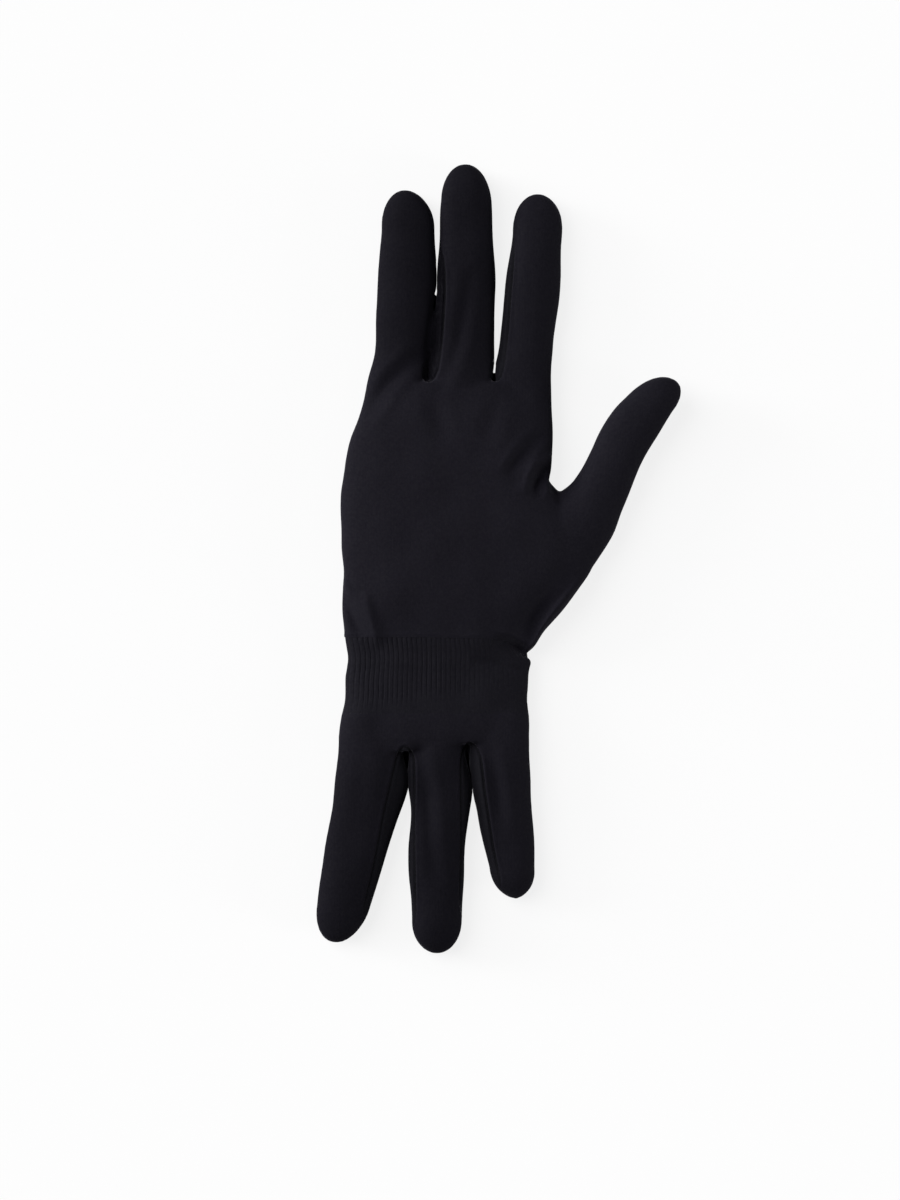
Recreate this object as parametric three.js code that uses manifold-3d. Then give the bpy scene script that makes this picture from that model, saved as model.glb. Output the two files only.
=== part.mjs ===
import * as THREE from 'three';
import { mergeVertices } from 'three/addons/utils/BufferGeometryUtils.js';
import Module from 'manifold-3d';

// A double-ended glove of black stretch cloth, lying flat on a table. The upper hand has
// three fingers and a thumb, a ribbed band draws in the wrist, and three more fingers
// hang below the band. The cloth is a hollow wall all round, with strips sewn between the
// fingers. Millimetres, +Z up, +Y towards the upper fingertips, +X towards the thumb, and
// the origin on the table under the middle of the glove.

// Driving dimensions.
const CLOTH = 1.4; // thickness of the doubled stretch cloth
const SEAM_GAP = 0.3; // clear space kept along each sewn edge
const RIB_COUNT = 76; // knitted ribs round the band
const RIB_DEPTH = 0.45; // ridge to groove
const BAND_EDGE = -61.8; // height up the glove where the band ends and the lower hand starts
const MOUTH = { x: -25.2, halfWidth: 29, depth: 8.5 }; // wrist opening, in the underside

// Side strips: how far they come round onto the front and back of a finger and how much
// farther below the crotch, and the share of the finger's length after which they narrow, to
// end just past its side.
const STRIP = { inset: 2.9, turn: 1.9, narrowsFrom: 0.72, endsPast: 0.6, steps: 6 };

// Section shapes. Squareness 2 is an ellipse, and more is flatter on top.
const DIGIT_SQUARENESS = 2.15;
const DIGIT_OUTSIDE = { sides: 16, domeRings: 4 };
const DIGIT_INSIDE = { sides: 10, domeRings: 3 };
const BODY = { sides: 36, cavitySides: 20, squareness: 2.6 };

// Heights and widths that clear the whole glove, for what cuts through it.
const BELOW = -10;
const ABOVE = 60;
const FAR = 200;

const COLOURS = { cloth: 0x18181c, strip: 0x151519, ribs: 0x17171a };

// Each row is one section across the glove: its place y, its left and right edges seen from
// above, and its lowest and highest point. What would be lower than the table is pressed flat.
const acrossRows = (rows) =>
	rows.map(([y, left, right, low, high]) => ({
		left: [left, y],
		right: [right, y],
		low,
		high,
	}));

// A section that leans has a place of its own for each end.
const leaningRows = (rows) =>
	rows.map(([leftX, leftY, rightX, rightY, low, high]) => ({
		left: [leftX, leftY],
		right: [rightX, rightY],
		low,
		high,
	}));

const PALM = acrossRows([
	[70.8, -51.8, 21.3, -0.6, 12.6],
	[63.4, -53.4, 21.4, -1.0, 13.8],
	[55.4, -56.0, 21.6, -1.5, 15.0],
	[47.4, -58.9, 21.8, -2.0, 16.0],
	[39.4, -60.8, 21.6, -2.3, 16.7],
	[31.4, -62.2, 21.6, -2.5, 17.2],
	[25.4, -62.9, 24.6, -2.5, 17.5],
	[18.6, -63.1, 30.6, -2.5, 17.7],
	[11.4, -62.8, 37.0, -2.5, 17.8],
	[3.4, -62.4, 39.2, -2.5, 17.8],
	[-4.6, -61.5, 36.8, -2.5, 17.6],
	[-12.6, -61.9, 31.6, -2.3, 17.1],
	[-20.6, -62.0, 25.8, -2.0, 16.2],
	[-28.6, -61.1, 18.9, -1.6, 14.8],
	[-34.6, -60.4, 14.7, -1.3, 13.6],
	[-39.0, -59.8, 11.2, -1.0, 12.8],
	[-43.0, -59.8, 9.0, -1.0, 12.6],
]);

const BAND = acrossRows([
	[-29.4, -61.2, 8.4, -1.2, 13.4],
	[-37.8, -59.8, 10.2, -1.2, 12.5],
	[-41.0, -59.8, 13.2, -1.2, 12.3],
	[-44.2, -60.4, 12.2, -1.2, 12.2],
	[-48.6, -61.1, 11.6, -1.2, 12.2],
	[-56.6, -61.0, 11.1, -1.2, 12.4],
	[-63.0, -62.4, 11.9, -1.2, 12.9],
]);

// The lower hand above its fingers, which part a little higher on the right.
const HEEL = leaningRows([
	[-63.8, -79.4, 12.2, -71.4, -1.0, 12.4],
	[-63.4, -72.4, 12.5, -67.4, -1.2, 13.0],
	[-62.6, -65.0, 12.2, -63.4, -1.2, 13.0],
	[-61.4, -59.0, 11.3, -59.0, -1.2, 12.6],
]);

// Three upper fingers and the thumb. A tip is where the rounded end of the digit closes,
// and its point is 1 for a round end, more for a sharper one.
const UPPER_DIGITS = {
	left_finger: {
		rows: acrossRows([
			[53.4, -56.2, -27.2, -0.6, 12.0],
			[63.4, -53.3, -27.2, -0.6, 12.4],
			[72.2, -51.6, -27.3, -0.8, 12.6],
			[83.4, -49.6, -26.2, -0.9, 12.8],
			[95.4, -48.8, -25.3, -0.9, 12.8],
			[109.4, -48.3, -25.0, -0.9, 12.6],
			[121.4, -47.4, -25.1, -0.8, 12.3],
			[131.4, -46.5, -26.1, -0.6, 11.8],
		]),
		tip: { x: -37.0, y: 147.7, z: 5.2, point: 1 },
	},
	middle_finger: {
		rows: acrossRows([
			[53.4, -26.8, -1.2, -0.6, 12.2],
			[63.4, -26.6, -1.3, -0.7, 12.8],
			[72.2, -26.6, -1.4, -0.8, 13.2],
			[83.4, -25.8, -1.6, -0.9, 13.4],
			[95.4, -24.9, -1.4, -0.9, 13.4],
			[109.4, -24.5, -1.0, -0.9, 13.2],
			[127.4, -23.7, -1.4, -0.8, 12.8],
			[143.4, -22.4, -2.4, -0.6, 12.2],
		]),
		tip: { x: -13.6, y: 158.1, z: 5.2, point: 1 },
	},
	right_finger: {
		rows: acrossRows([
			[53.4, -0.6, 21.4, -0.6, 12.0],
			[63.4, -0.8, 21.4, -0.7, 12.4],
			[72.2, -1.0, 21.2, -0.8, 12.8],
			[78.6, -0.9, 21.7, -0.8, 12.9],
			[87.4, 0.7, 22.8, -0.9, 13.0],
			[103.4, 2.2, 24.0, -0.9, 12.9],
			[117.4, 3.9, 24.9, -0.8, 12.5],
			[129.4, 5.5, 25.6, -0.6, 12.0],
		]),
		tip: { x: 16.0, y: 146.1, z: 5.2, point: 1 },
	},
	thumb: {
		rows: leaningRows([
			[12.0, 18.6, 36.0, -5.4, -1.8, 15.6],
			[27.2, 28.0, 45.2, 8.6, -1.0, 15.2],
			[32.4, 34.0, 49.4, 19.8, -0.2, 15.2],
			[36.8, 42.6, 55.2, 33.0, 1.0, 15.4],
			[41.1, 51.4, 60.8, 44.2, 2.0, 15.8],
			[46.6, 59.8, 65.8, 53.2, 3.0, 16.0],
			[52.0, 65.5, 69.4, 58.6, 3.6, 15.8],
		]),
		tip: { x: 69.8, y: 71.6, z: 9.6, point: 1 },
	},
};

const LOWER_DIGITS = {
	lower_left_finger: {
		rows: acrossRows([
			[-62.0, -62.2, -38.0, -0.6, 12.0],
			[-70.6, -63.4, -38.0, -0.8, 12.4],
			[-79.4, -64.0, -37.3, -0.9, 12.7],
			[-90.6, -64.9, -36.7, -0.9, 12.8],
			[-104.6, -66.8, -40.8, -0.9, 12.8],
			[-116.6, -68.9, -44.6, -0.9, 12.6],
			[-128.6, -70.9, -48.1, -0.8, 12.3],
			[-138.6, -72.4, -51.3, -0.6, 11.8],
		]),
		tip: { x: -65.2, y: -153.5, z: 5.2, point: 1 },
	},
	lower_middle_finger: {
		rows: acrossRows([
			[-62.0, -36.4, -12.8, -0.6, 12.2],
			[-70.6, -36.6, -12.4, -0.8, 12.6],
			[-79.4, -36.7, -12.0, -0.9, 12.9],
			[-90.6, -36.1, -11.4, -0.9, 13.0],
			[-100.6, -35.4, -10.3, -0.9, 13.0],
			[-112.6, -35.4, -13.3, -0.9, 12.8],
			[-128.6, -35.3, -13.8, -0.8, 12.4],
			[-143.8, -34.2, -14.4, -0.6, 11.8],
		]),
		tip: { x: -24.4, y: -158.2, z: 5.2, point: 1 },
	},
	lower_right_finger: {
		rows: acrossRows([
			[-62.0, -11.6, 12.0, -0.6, 12.0],
			[-70.6, -11.6, 12.4, -0.8, 12.4],
			[-79.4, -11.4, 12.1, -0.9, 12.6],
			[-90.6, -10.6, 12.8, -0.9, 12.7],
			[-100.6, -8.3, 13.6, -0.9, 12.6],
			[-108.6, -6.7, 14.1, -0.8, 12.4],
			[-116.6, -5.0, 14.4, -0.7, 12.0],
			[-123.8, -3.0, 14.3, -0.6, 11.6],
		]),
		tip: { x: 7.2, y: -136.2, z: 5.0, point: 1.3 },
	},
};

// Strips between the fingers: the two digits that they join, and how far the crotch is up.
const UPPER_STRIPS = [
	{ name: 'side_strip_left', left: 'left_finger', right: 'middle_finger', crotch: 71 },
	{ name: 'side_strip_right', left: 'middle_finger', right: 'right_finger', crotch: 71 },
];
const LOWER_STRIPS = [
	{
		name: 'lower_side_strip_left',
		left: 'lower_left_finger',
		right: 'lower_middle_finger',
		crotch: -76.8,
	},
	{
		name: 'lower_side_strip_right',
		left: 'lower_middle_finger',
		right: 'lower_right_finger',
		crotch: -74.1,
	},
];

// Where the digits are set on the hand: across the three fingers, and across the thumb's root
// from its crotch to its outer side. The lower fingers' roots lean as their crotches do.
const UPPER_ROOTS = [
	{ from: [-62, 69.9], to: [30, 69.9] },
	{ from: [24.2, 28.4], to: [40, -9] },
];
const LOWER_ROOTS = [{ from: [-68, -78.2], to: [16, -69.3] }];

// The edge where the palm is sewn to the band, from the left side to the thumb side.
const WRIST_SEAM = [
	[-70, -31.4],
	[-31.2, -31.4],
	[-1.2, -32.2],
	[6.4, -34.8],
	[12.8, -39.4],
	[22, -43],
];

// Creases in the upper side of the palm. Each is deepest where it starts and dies away
// where it ends; a depth below nought is a raised fold.
const FOLDS = [
	{ at: 'thumb crotch, outer', from: [14.8, 46], to: [0, 28], width: 3.4, depth: 2.4 },
	{ at: 'thumb crotch, inner', from: [19.6, 37.6], to: [13.6, 22], width: 3.2, depth: 3.2 },
	{ at: 'left knuckle', from: [-43, 72], to: [-57, 50], width: 3.2, depth: 1.8 },
	{ at: 'left of the heel', from: [-57, -34], to: [-61, -13], width: 3.0, depth: 2.2 },
	{ at: 'pleat beside it', from: [-51, -34], to: [-53, -14], width: 3.4, depth: -1.2 },
	{ at: 'pocket above the band', from: [7, -36], to: [-3, -31], width: 3.2, depth: 2.4 },
	{ at: 'below the thumb', from: [6, -32], to: [36, 0], width: 6, depth: 1.4 },
];

const wasm = await Module();
wasm.setup();

// Evenly spread stations on smooth curves through a table's rows. One curve carries the left
// edge and the underside, the other the right edge and the upper side.
function smoothRows(rows, steps) {
	const curve = (edge, side) =>
		new THREE.CatmullRomCurve3(rows.map((r) => new THREE.Vector3(...r[edge], r[side])));
	const leftLow = curve('left', 'low').getPoints(steps);
	const rightHigh = curve('right', 'high').getPoints(steps);
	return leftLow.map((a, i) => {
		const b = rightHigh[i];
		return { left: [a.x, a.y], right: [b.x, b.y], low: a.z, high: b.z };
	});
}

// The points of one section, spaced evenly along its rounded outline from the right edge over
// the top. An inset moves them inwards, to the inner face of the cloth.
function section(row, { sides, squareness }, inset = 0, sizeNow = 1) {
	const right = new THREE.Vector3(...row.right, 0);
	const left = new THREE.Vector3(...row.left, 0);
	const across = right.clone().sub(left).multiplyScalar(0.5);
	const middle = right.clone().add(left).multiplyScalar(0.5);
	middle.z = (row.low + row.high) / 2;
	const halfWidth = across.length() * sizeNow - inset;
	const halfHeight = ((row.high - row.low) / 2) * sizeNow - inset;
	across.normalize();
	const bulge = (v) => Math.sign(v) * Math.abs(v) ** (2 / squareness);
	const outline = [];
	const cornerPoints = 32;
	for (let i = 0; i < cornerPoints; i++) {
		const angle = (i / cornerPoints) * 2 * Math.PI;
		const point = middle.clone().addScaledVector(across, halfWidth * bulge(Math.cos(angle)));
		point.z += halfHeight * bulge(Math.sin(angle));
		outline.push(point);
	}
	return new THREE.CatmullRomCurve3(outline, true).getSpacedPoints(sides).slice(0, sides);
}

// A closed skin over a row of sections. Each end is a fan round a hub.
function loft(rings, startHub, endHub) {
	const sides = rings[0].length;
	const points = [...rings.flat(), startHub, endHub];
	const start = points.length - 2;
	const end = points.length - 1;
	const faces = [];
	for (let j = 0; j < sides; j++) {
		const next = (j + 1) % sides;
		const last = (rings.length - 1) * sides;
		faces.push([start, j, next], [end, last + next, last + j]);
		for (let i = 0; i + 1 < rings.length; i++) {
			const near = i * sides;
			const far = near + sides;
			faces.push([near + j, far + j, near + next], [near + next, far + j, far + next]);
		}
	}
	const geometry = new THREE.BufferGeometry().setFromPoints(points);
	geometry.setIndex(faces.flat());
	return geometry;
}

// A closed geometry as a solid to cut and join. One that was wound inside out is turned round.
function solidOf(geometry) {
	geometry.deleteAttribute('normal');
	geometry.deleteAttribute('uv');
	const welded = mergeVertices(geometry);
	const triVerts = new Uint32Array(welded.index.array);
	const vertProperties = welded.attributes.position.array;
	const build = () => new wasm.Manifold(new wasm.Mesh({ numProp: 3, vertProperties, triVerts }));
	const solid = build();
	if (solid.volume() > 0) return solid;
	for (let i = 0; i < triVerts.length; i += 3) {
		[triVerts[i + 1], triVerts[i + 2]] = [triVerts[i + 2], triVerts[i + 1]];
	}
	return build();
}

// The space over a flat outline, between two heights.
function slab(shape, bottom = BELOW, top = ABOVE) {
	const geometry = new THREE.ExtrudeGeometry(shape, {
		depth: top - bottom,
		bevelEnabled: false,
		curveSegments: 8,
	});
	return solidOf(geometry.translate(0, 0, bottom));
}

// A section whose upper side sinks into each crease that is near, and rises over a raised fold.
// Inside the cloth the creases are wider, so that the wall stays whole under them.
function creased(ring, row, folds, inset) {
	for (const { from, to, width, depth } of folds) {
		const reach = width + 2 * inset;
		const start = new THREE.Vector2(...from);
		const run = new THREE.Vector2(...to).sub(start);
		for (const point of ring.filter((p) => p.z > (row.low + row.high) / 2)) {
			const here = new THREE.Vector2(point.x, point.y);
			const share = here.clone().sub(start).dot(run) / run.lengthSq();
			const along = THREE.MathUtils.clamp(share, 0, 1);
			const away = here.distanceTo(run.clone().multiplyScalar(along).add(start));
			point.z -= depth * (1 - along) * Math.exp(-((away / reach) ** 2));
		}
	}
	return ring;
}

// A trunk of cloth, such as the palm, with both ends flat. The hollow inside it stops short of
// the end between the fingers, which is the table's first row.
function trunk(rows, shape, steps, inset, folds = []) {
	const [first, second] = rows;
	const inwards = inset * Math.sign(second.left[1] - first.left[1]);
	const moved = ([x, y]) => [x, y + inwards];
	const start = { ...first, left: moved(first.left), right: moved(first.right) };
	const rings = smoothRows([start, ...rows.slice(1)], steps)
		.map((row) => creased(section(row, shape, inset), row, folds, inset));
	return solidOf(loft(rings, middleOf(rings[0]), middleOf(rings.at(-1))));
}

// A digit: its sections, then a dome that closes at the tip.
function digit({ rows, tip }, steps, inset, folds) {
	const { sides, domeRings } = inset ? DIGIT_INSIDE : DIGIT_OUTSIDE;
	const shape = { sides, squareness: DIGIT_SQUARENESS };
	const rings = smoothRows(rows, steps)
		.map((row) => creased(section(row, shape, inset), row, folds, inset));
	const last = rows.at(-1);
	const middle = new THREE.Vector3(
		(last.left[0] + last.right[0]) / 2,
		(last.left[1] + last.right[1]) / 2,
		(last.low + last.high) / 2,
	);
	const end = new THREE.Vector3(tip.x, tip.y, tip.z);
	const reach = end.clone().sub(middle);
	reach.setLength(reach.length() - inset);
	for (let i = 1; i < domeRings; i++) {
		const turn = (i / domeRings) * (Math.PI / 2);
		const narrowed = Math.cos(turn) ** tip.point;
		const shift = reach.clone().multiplyScalar(Math.sin(turn));
		const row = {
			left: [last.left[0] + shift.x, last.left[1] + shift.y],
			right: [last.right[0] + shift.x, last.right[1] + shift.y],
			low: last.low + shift.z,
			high: last.high + shift.z,
		};
		rings.push(section(row, shape, inset * narrowed, narrowed));
	}
	return solidOf(loft(rings, middleOf(rings[0]), middle.clone().add(reach)));
}

function middleOf(ring) {
	return ring.reduce((sum, p) => sum.add(p), new THREE.Vector3()).divideScalar(ring.length);
}

// Where the edge of a digit lies at a distance up or down the glove.
function edgeAt(rows, edge, y) {
	const points = smoothRows(rows, 40).map((row) => row[edge]);
	const found = points.findIndex((point) => Math.abs(point[1]) >= Math.abs(y));
	const next = found < 0 ? points.length - 1 : found;
	const [x0, y0] = points[next - 1];
	const [x1, y1] = points[next];
	return THREE.MathUtils.mapLinear(y, y0, y1, x0, x1);
}

// The outline on the table of the strip between two fingers: down the near side of one, round
// the crotch and up the near side of the other.
function stripOutline(digits, { left, right, crotch }, inset) {
	const side = (rows, edge, turn) => {
		const end = rows.at(-1)[edge][1];
		return Array.from({ length: STRIP.steps + 1 }, (_, i) => {
			const y = THREE.MathUtils.lerp(crotch, end, i / STRIP.steps);
			const narrowing = THREE.MathUtils.smoothstep(i / STRIP.steps, STRIP.narrowsFrom, 1);
			const inwards = THREE.MathUtils.lerp(inset, -STRIP.endsPast, narrowing);
			return new THREE.Vector2(edgeAt(rows, edge, y) + turn * inwards, y);
		});
	};
	const leftSide = side(digits[left].rows, 'right', -1);
	const rightSide = side(digits[right].rows, 'left', 1);
	const start = leftSide[0];
	const end = rightSide[0];
	const turnY = crotch - Math.sign(crotch) * (inset + STRIP.turn);
	const shape = new THREE.Shape();
	shape.setFromPoints(leftSide.reverse());
	shape.bezierCurveTo(start.x, turnY, end.x, turnY, end.x, end.y);
	for (const point of rightSide.slice(1)) shape.lineTo(point.x, point.y);
	return shape;
}

// All the space below a height.
function spaceBelow(height) {
	return solidOf(new THREE.BoxGeometry(2 * FAR, 2 * FAR, FAR).translate(0, 0, height - FAR / 2));
}

// Joins the outer skins, presses them flat on the table and takes out the hollow inside.
function hollow(outers, cavities) {
	const joined = (solids) => solids.reduce((sum, solid) => sum.add(solid));
	const inside = joined(cavities).subtract(spaceBelow(CLOTH));
	return joined(outers).subtract(spaceBelow(0)).subtract(inside);
}

// The space on one side of the wrist seam, which is moved along the glove by a shift.
function besideWrist(side, shift) {
	const line = WRIST_SEAM.map(([x, y]) => new THREE.Vector2(x, y + shift));
	const shape = new THREE.Shape(line);
	shape.lineTo(line.at(-1).x, side * FAR);
	shape.lineTo(line[0].x, side * FAR);
	return slab(shape);
}

// A cut one seam gap wide along a line on the table.
function slot({ from, to }) {
	const start = new THREE.Vector2(...from);
	const run = new THREE.Vector2(...to).sub(start);
	const aside = new THREE.Vector2(-run.y, run.x).setLength(SEAM_GAP / 2);
	const edge = [start.clone().add(aside), start.clone().sub(aside)];
	return slab(new THREE.Shape([...edge, ...edge.reverse().map((p) => p.clone().add(run))]));
}

// The space between two heights up the glove, from side to side.
function across(lower, upper) {
	const shape = new THREE.Shape();
	shape.moveTo(-FAR, lower).lineTo(FAR, lower).lineTo(FAR, upper).lineTo(-FAR, upper);
	return slab(shape);
}

// A hand as a hollow wall: its outer skins and its cavities, each a trunk and its digits.
function handWall(trunkRows, digits, folds, { outer, inner }) {
	const cavityShape = { ...BODY, sides: BODY.cavitySides };
	return hollow(
		[trunk(trunkRows, BODY, outer.trunk, 0, folds)]
			.concat(digits.map((d) => digit(d, outer.digit, 0, folds))),
		[trunk(trunkRows, cavityShape, inner.trunk, CLOTH, folds)]
			.concat(digits.map((d) => digit(d, inner.digit, CLOTH, folds))),
	);
}

function upperHand() {
	const rings = { outer: { trunk: 18, digit: 7 }, inner: { trunk: 11, digit: 4 } };
	const wall = handWall(PALM, Object.values(UPPER_DIGITS), FOLDS, rings);
	return wall.subtract(besideWrist(-1, 0));
}

function lowerHand() {
	const rings = { outer: { trunk: 4, digit: 5 }, inner: { trunk: 3, digit: 4 } };
	const wall = handWall(HEEL, Object.values(LOWER_DIGITS), [], rings);
	const mouth = new THREE.Shape();
	mouth.absellipse(MOUTH.x, BAND_EDGE, MOUTH.halfWidth, MOUTH.depth, 0, 2 * Math.PI);
	return wall
		.subtract(across(BAND_EDGE - SEAM_GAP / 2, FAR))
		.subtract(slab(mouth, BELOW, 2 * CLOTH));
}

// Every second point round a section lies in a groove, which makes the ribs.
function ribbedBand() {
	const shape = { ...BODY, sides: 2 * RIB_COUNT };
	const rings = smoothRows(BAND, BAND.length - 1).map((row) => {
		const ridges = section(row, shape);
		const grooves = section(row, shape, RIB_DEPTH);
		return ridges.map((point, i) => (i % 2 ? grooves[i] : point));
	});
	const skin = solidOf(loft(rings, middleOf(rings[0]), middleOf(rings.at(-1))));
	const cavityShape = { ...BODY, sides: BODY.cavitySides };
	const cavity = trunk(BAND, cavityShape, BAND.length - 2, CLOTH + RIB_DEPTH / 2);
	return hollow([skin], [cavity])
		.subtract(besideWrist(1, -SEAM_GAP))
		.subtract(across(-FAR, BAND_EDGE + SEAM_GAP / 2));
}

const glove = new THREE.Group();
glove.name = 'glove';

function largest(solids) {
	return solids.reduce((a, b) => (a.volume() > b.volume() ? a : b));
}

// Adds a piece of cloth, without the slivers that a cut can leave at its edges.
function addCloth(name, solid, color, roughness) {
	const { vertProperties, triVerts } = largest(solid.decompose()).getMesh();
	const geometry = new THREE.BufferGeometry();
	geometry.setAttribute('position', new THREE.BufferAttribute(vertProperties, 3));
	geometry.setIndex(new THREE.BufferAttribute(triVerts, 1));
	geometry.computeVertexNormals();
	const material = new THREE.MeshStandardMaterial({ color, roughness, metalness: 0 });
	const mesh = new THREE.Mesh(geometry, material);
	mesh.name = name;
	glove.add(mesh);
}

// Cuts the strips between the fingers out of a hand's wall, and adds them. The wall that is
// left is the hand.
function addStrips(wall, digits, strips) {
	let hand = wall;
	for (const strip of strips) {
		const kept = slab(stripOutline(digits, strip, STRIP.inset));
		const cleared = slab(stripOutline(digits, strip, STRIP.inset + SEAM_GAP));
		addCloth(strip.name, wall.intersect(kept), COLOURS.strip, 0.9);
		hand = hand.subtract(cleared);
	}
	return hand;
}

// Cuts the digits off a hand at their roots, and adds each as a tube that is open at its root.
// The hand is what is left.
function addHand(name, wall, digits, roots) {
	const pieces = roots.reduce((rest, root) => rest.subtract(slot(root)), wall).decompose();
	const reachesTip = (piece, { tip }) => {
		const { min, max } = piece.boundingBox();
		const insideX = min[0] < tip.x && tip.x < max[0];
		return insideX && min[1] - SEAM_GAP < tip.y && tip.y < max[1] + SEAM_GAP;
	};
	const found = Object.entries(digits).map(([digitName, shape]) => {
		const piece = pieces.find((candidate) => reachesTip(candidate, shape));
		addCloth(digitName, piece, COLOURS.cloth, 0.85);
		return piece;
	});
	const rest = pieces.filter((piece) => !found.includes(piece));
	addCloth(name, largest(rest), COLOURS.cloth, 0.85);
}

const upperWall = addStrips(upperHand(), UPPER_DIGITS, UPPER_STRIPS);
addHand('hand_shell', upperWall, UPPER_DIGITS, UPPER_ROOTS);
addCloth('rib_band', ribbedBand(), COLOURS.ribs, 0.9);
const lowerWall = addStrips(lowerHand(), LOWER_DIGITS, LOWER_STRIPS);
addHand('lower_hand_shell', lowerWall, LOWER_DIGITS, LOWER_ROOTS);

export default glove;
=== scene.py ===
# %% [markdown]
# # A double-ended stretch glove
# The glove is one tube of fine black knit. The upper hand has three fingers and a thumb, a
# ribbed band draws in the wrist, and three more fingers hang below the band. It lies flat on
# a pale table and keeps the soft, round form of a worn glove.
#
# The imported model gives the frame: where each piece is, in metres. Nothing in it is moved.
# Each of its plain solids gets a finer piece of cloth in the same place.

# %% The frame
import math
import bmesh
import bpy
import numpy as np
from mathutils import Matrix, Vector
from mathutils.bvhtree import BVHTree
from mathutils.kdtree import KDTree


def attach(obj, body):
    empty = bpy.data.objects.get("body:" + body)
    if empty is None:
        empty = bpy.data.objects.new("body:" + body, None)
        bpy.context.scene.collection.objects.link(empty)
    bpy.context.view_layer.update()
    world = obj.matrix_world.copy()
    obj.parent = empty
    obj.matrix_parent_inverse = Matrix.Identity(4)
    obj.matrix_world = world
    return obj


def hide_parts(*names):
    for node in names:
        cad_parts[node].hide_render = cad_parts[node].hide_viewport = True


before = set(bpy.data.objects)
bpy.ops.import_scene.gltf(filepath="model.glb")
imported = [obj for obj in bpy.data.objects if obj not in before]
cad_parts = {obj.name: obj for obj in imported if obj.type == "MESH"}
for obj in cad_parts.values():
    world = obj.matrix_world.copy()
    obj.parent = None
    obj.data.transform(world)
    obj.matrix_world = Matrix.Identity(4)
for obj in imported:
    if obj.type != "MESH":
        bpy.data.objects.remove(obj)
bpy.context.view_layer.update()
MM = 0.001

# %% [markdown]
# ## How fine the cloth is
# A soft form with creases needs an even skin of small square faces, so that any part of it
# can be pushed in or out. The face size is the one number that sets both the detail and the
# weight of the file. Along the seams the skin is divided once more.

# %% Cloth sizes
WALL = 1.2 * MM
FACE = 0.8 * MM
LINING_FACE = 2.0 * MM
SEAM_GAP = 0.06 * MM
TABLE_SOFTNESS = 0.5 * MM
print("outer faces, mm:", round(FACE / MM, 2))

# %% [markdown]
# ## The form as sections
# A maker would describe the glove by how wide and how high it is at a few places. Each row
# below is one such section in millimetres: how far up the glove it is, its left and right
# edge seen from above, and its lowest and highest point. A smooth curve through the rows
# gives all the sections between them. A section that leans has a place for each end.

# %% The palm, the band and the lower hand
def across_rows(rows):
    """Sections straight across: y, left, right, low, high."""
    return np.array([[left, y, right, y, low, high] for y, left, right, low, high in rows]) * MM


def leaning_rows(rows):
    """Sections that lean: left x and y, right x and y, low, high."""
    return np.array(rows) * MM


PALM = across_rows([
    (70.2, -51.8, 21.3, -0.6, 12.6),
    (63.4, -53.4, 21.4, -1.0, 13.8),
    (55.4, -56.0, 21.6, -1.5, 15.0),
    (47.4, -58.9, 21.8, -2.0, 16.0),
    (39.4, -60.8, 21.5, -2.3, 16.7),
    (35.0, -61.5, 20.9, -2.4, 17.0),
    (32.0, -62.0, 20.1, -2.5, 17.1),
    (30.6, -62.2, 20.1, -2.5, 17.2),
    (29.4, -62.4, 21.2, -2.5, 17.3),
    (27.4, -62.7, 23.2, -2.5, 17.4),
    (25.2, -62.9, 25.2, -2.5, 17.5),
    (18.6, -63.1, 30.6, -2.5, 17.7),
    (11.4, -62.8, 37.0, -2.5, 17.8),
    (3.4, -62.4, 39.2, -2.5, 17.8),
    (-4.6, -61.5, 36.8, -2.5, 17.6),
    (-12.6, -61.9, 31.6, -2.3, 17.1),
    (-20.6, -62.0, 25.8, -2.0, 16.2),
    (-28.6, -61.1, 19.3, -1.6, 14.8),
    (-32.0, -60.8, 17.1, -1.4, 14.2),
    (-35.2, -60.3, 15.0, -1.3, 13.5),
    (-37.2, -60.0, 12.5, -1.1, 13.0),
    (-39.0, -59.8, 8.8, -1.0, 12.8),
    (-43.0, -59.8, 8.0, -1.0, 12.6),
])
BAND_AND_HEEL = leaning_rows([
    (-61.2, -29.4, 8.4, -29.4, -1.2, 13.4),
    (-59.8, -37.8, 10.2, -37.8, -1.2, 12.5),
    (-59.8, -41.0, 13.2, -41.0, -1.2, 12.3),
    (-60.4, -44.2, 12.2, -44.2, -1.2, 12.2),
    (-61.1, -48.6, 11.6, -48.6, -1.2, 12.2),
    (-61.0, -56.6, 11.1, -56.6, -1.2, 12.4),
    (-62.6, -64.2, 12.0, -62.6, -1.2, 12.9),
    (-63.9, -72.4, 12.5, -67.4, -1.2, 13.0),
    (-64.4, -79.4, 12.2, -71.4, -1.0, 12.4),
])
PALM_SQUARENESS = 2.6
print("palm width, mm:", round(max(PALM[:, 2] - PALM[:, 0]) / MM, 1))

# %% The fingers and the thumb
def finger(rows, tip, point=1):
    """Its sections, where the dome at its end reaches to, and how pointed that dome is."""
    return {"rows": rows, "tip": tip, "point": point}


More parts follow.
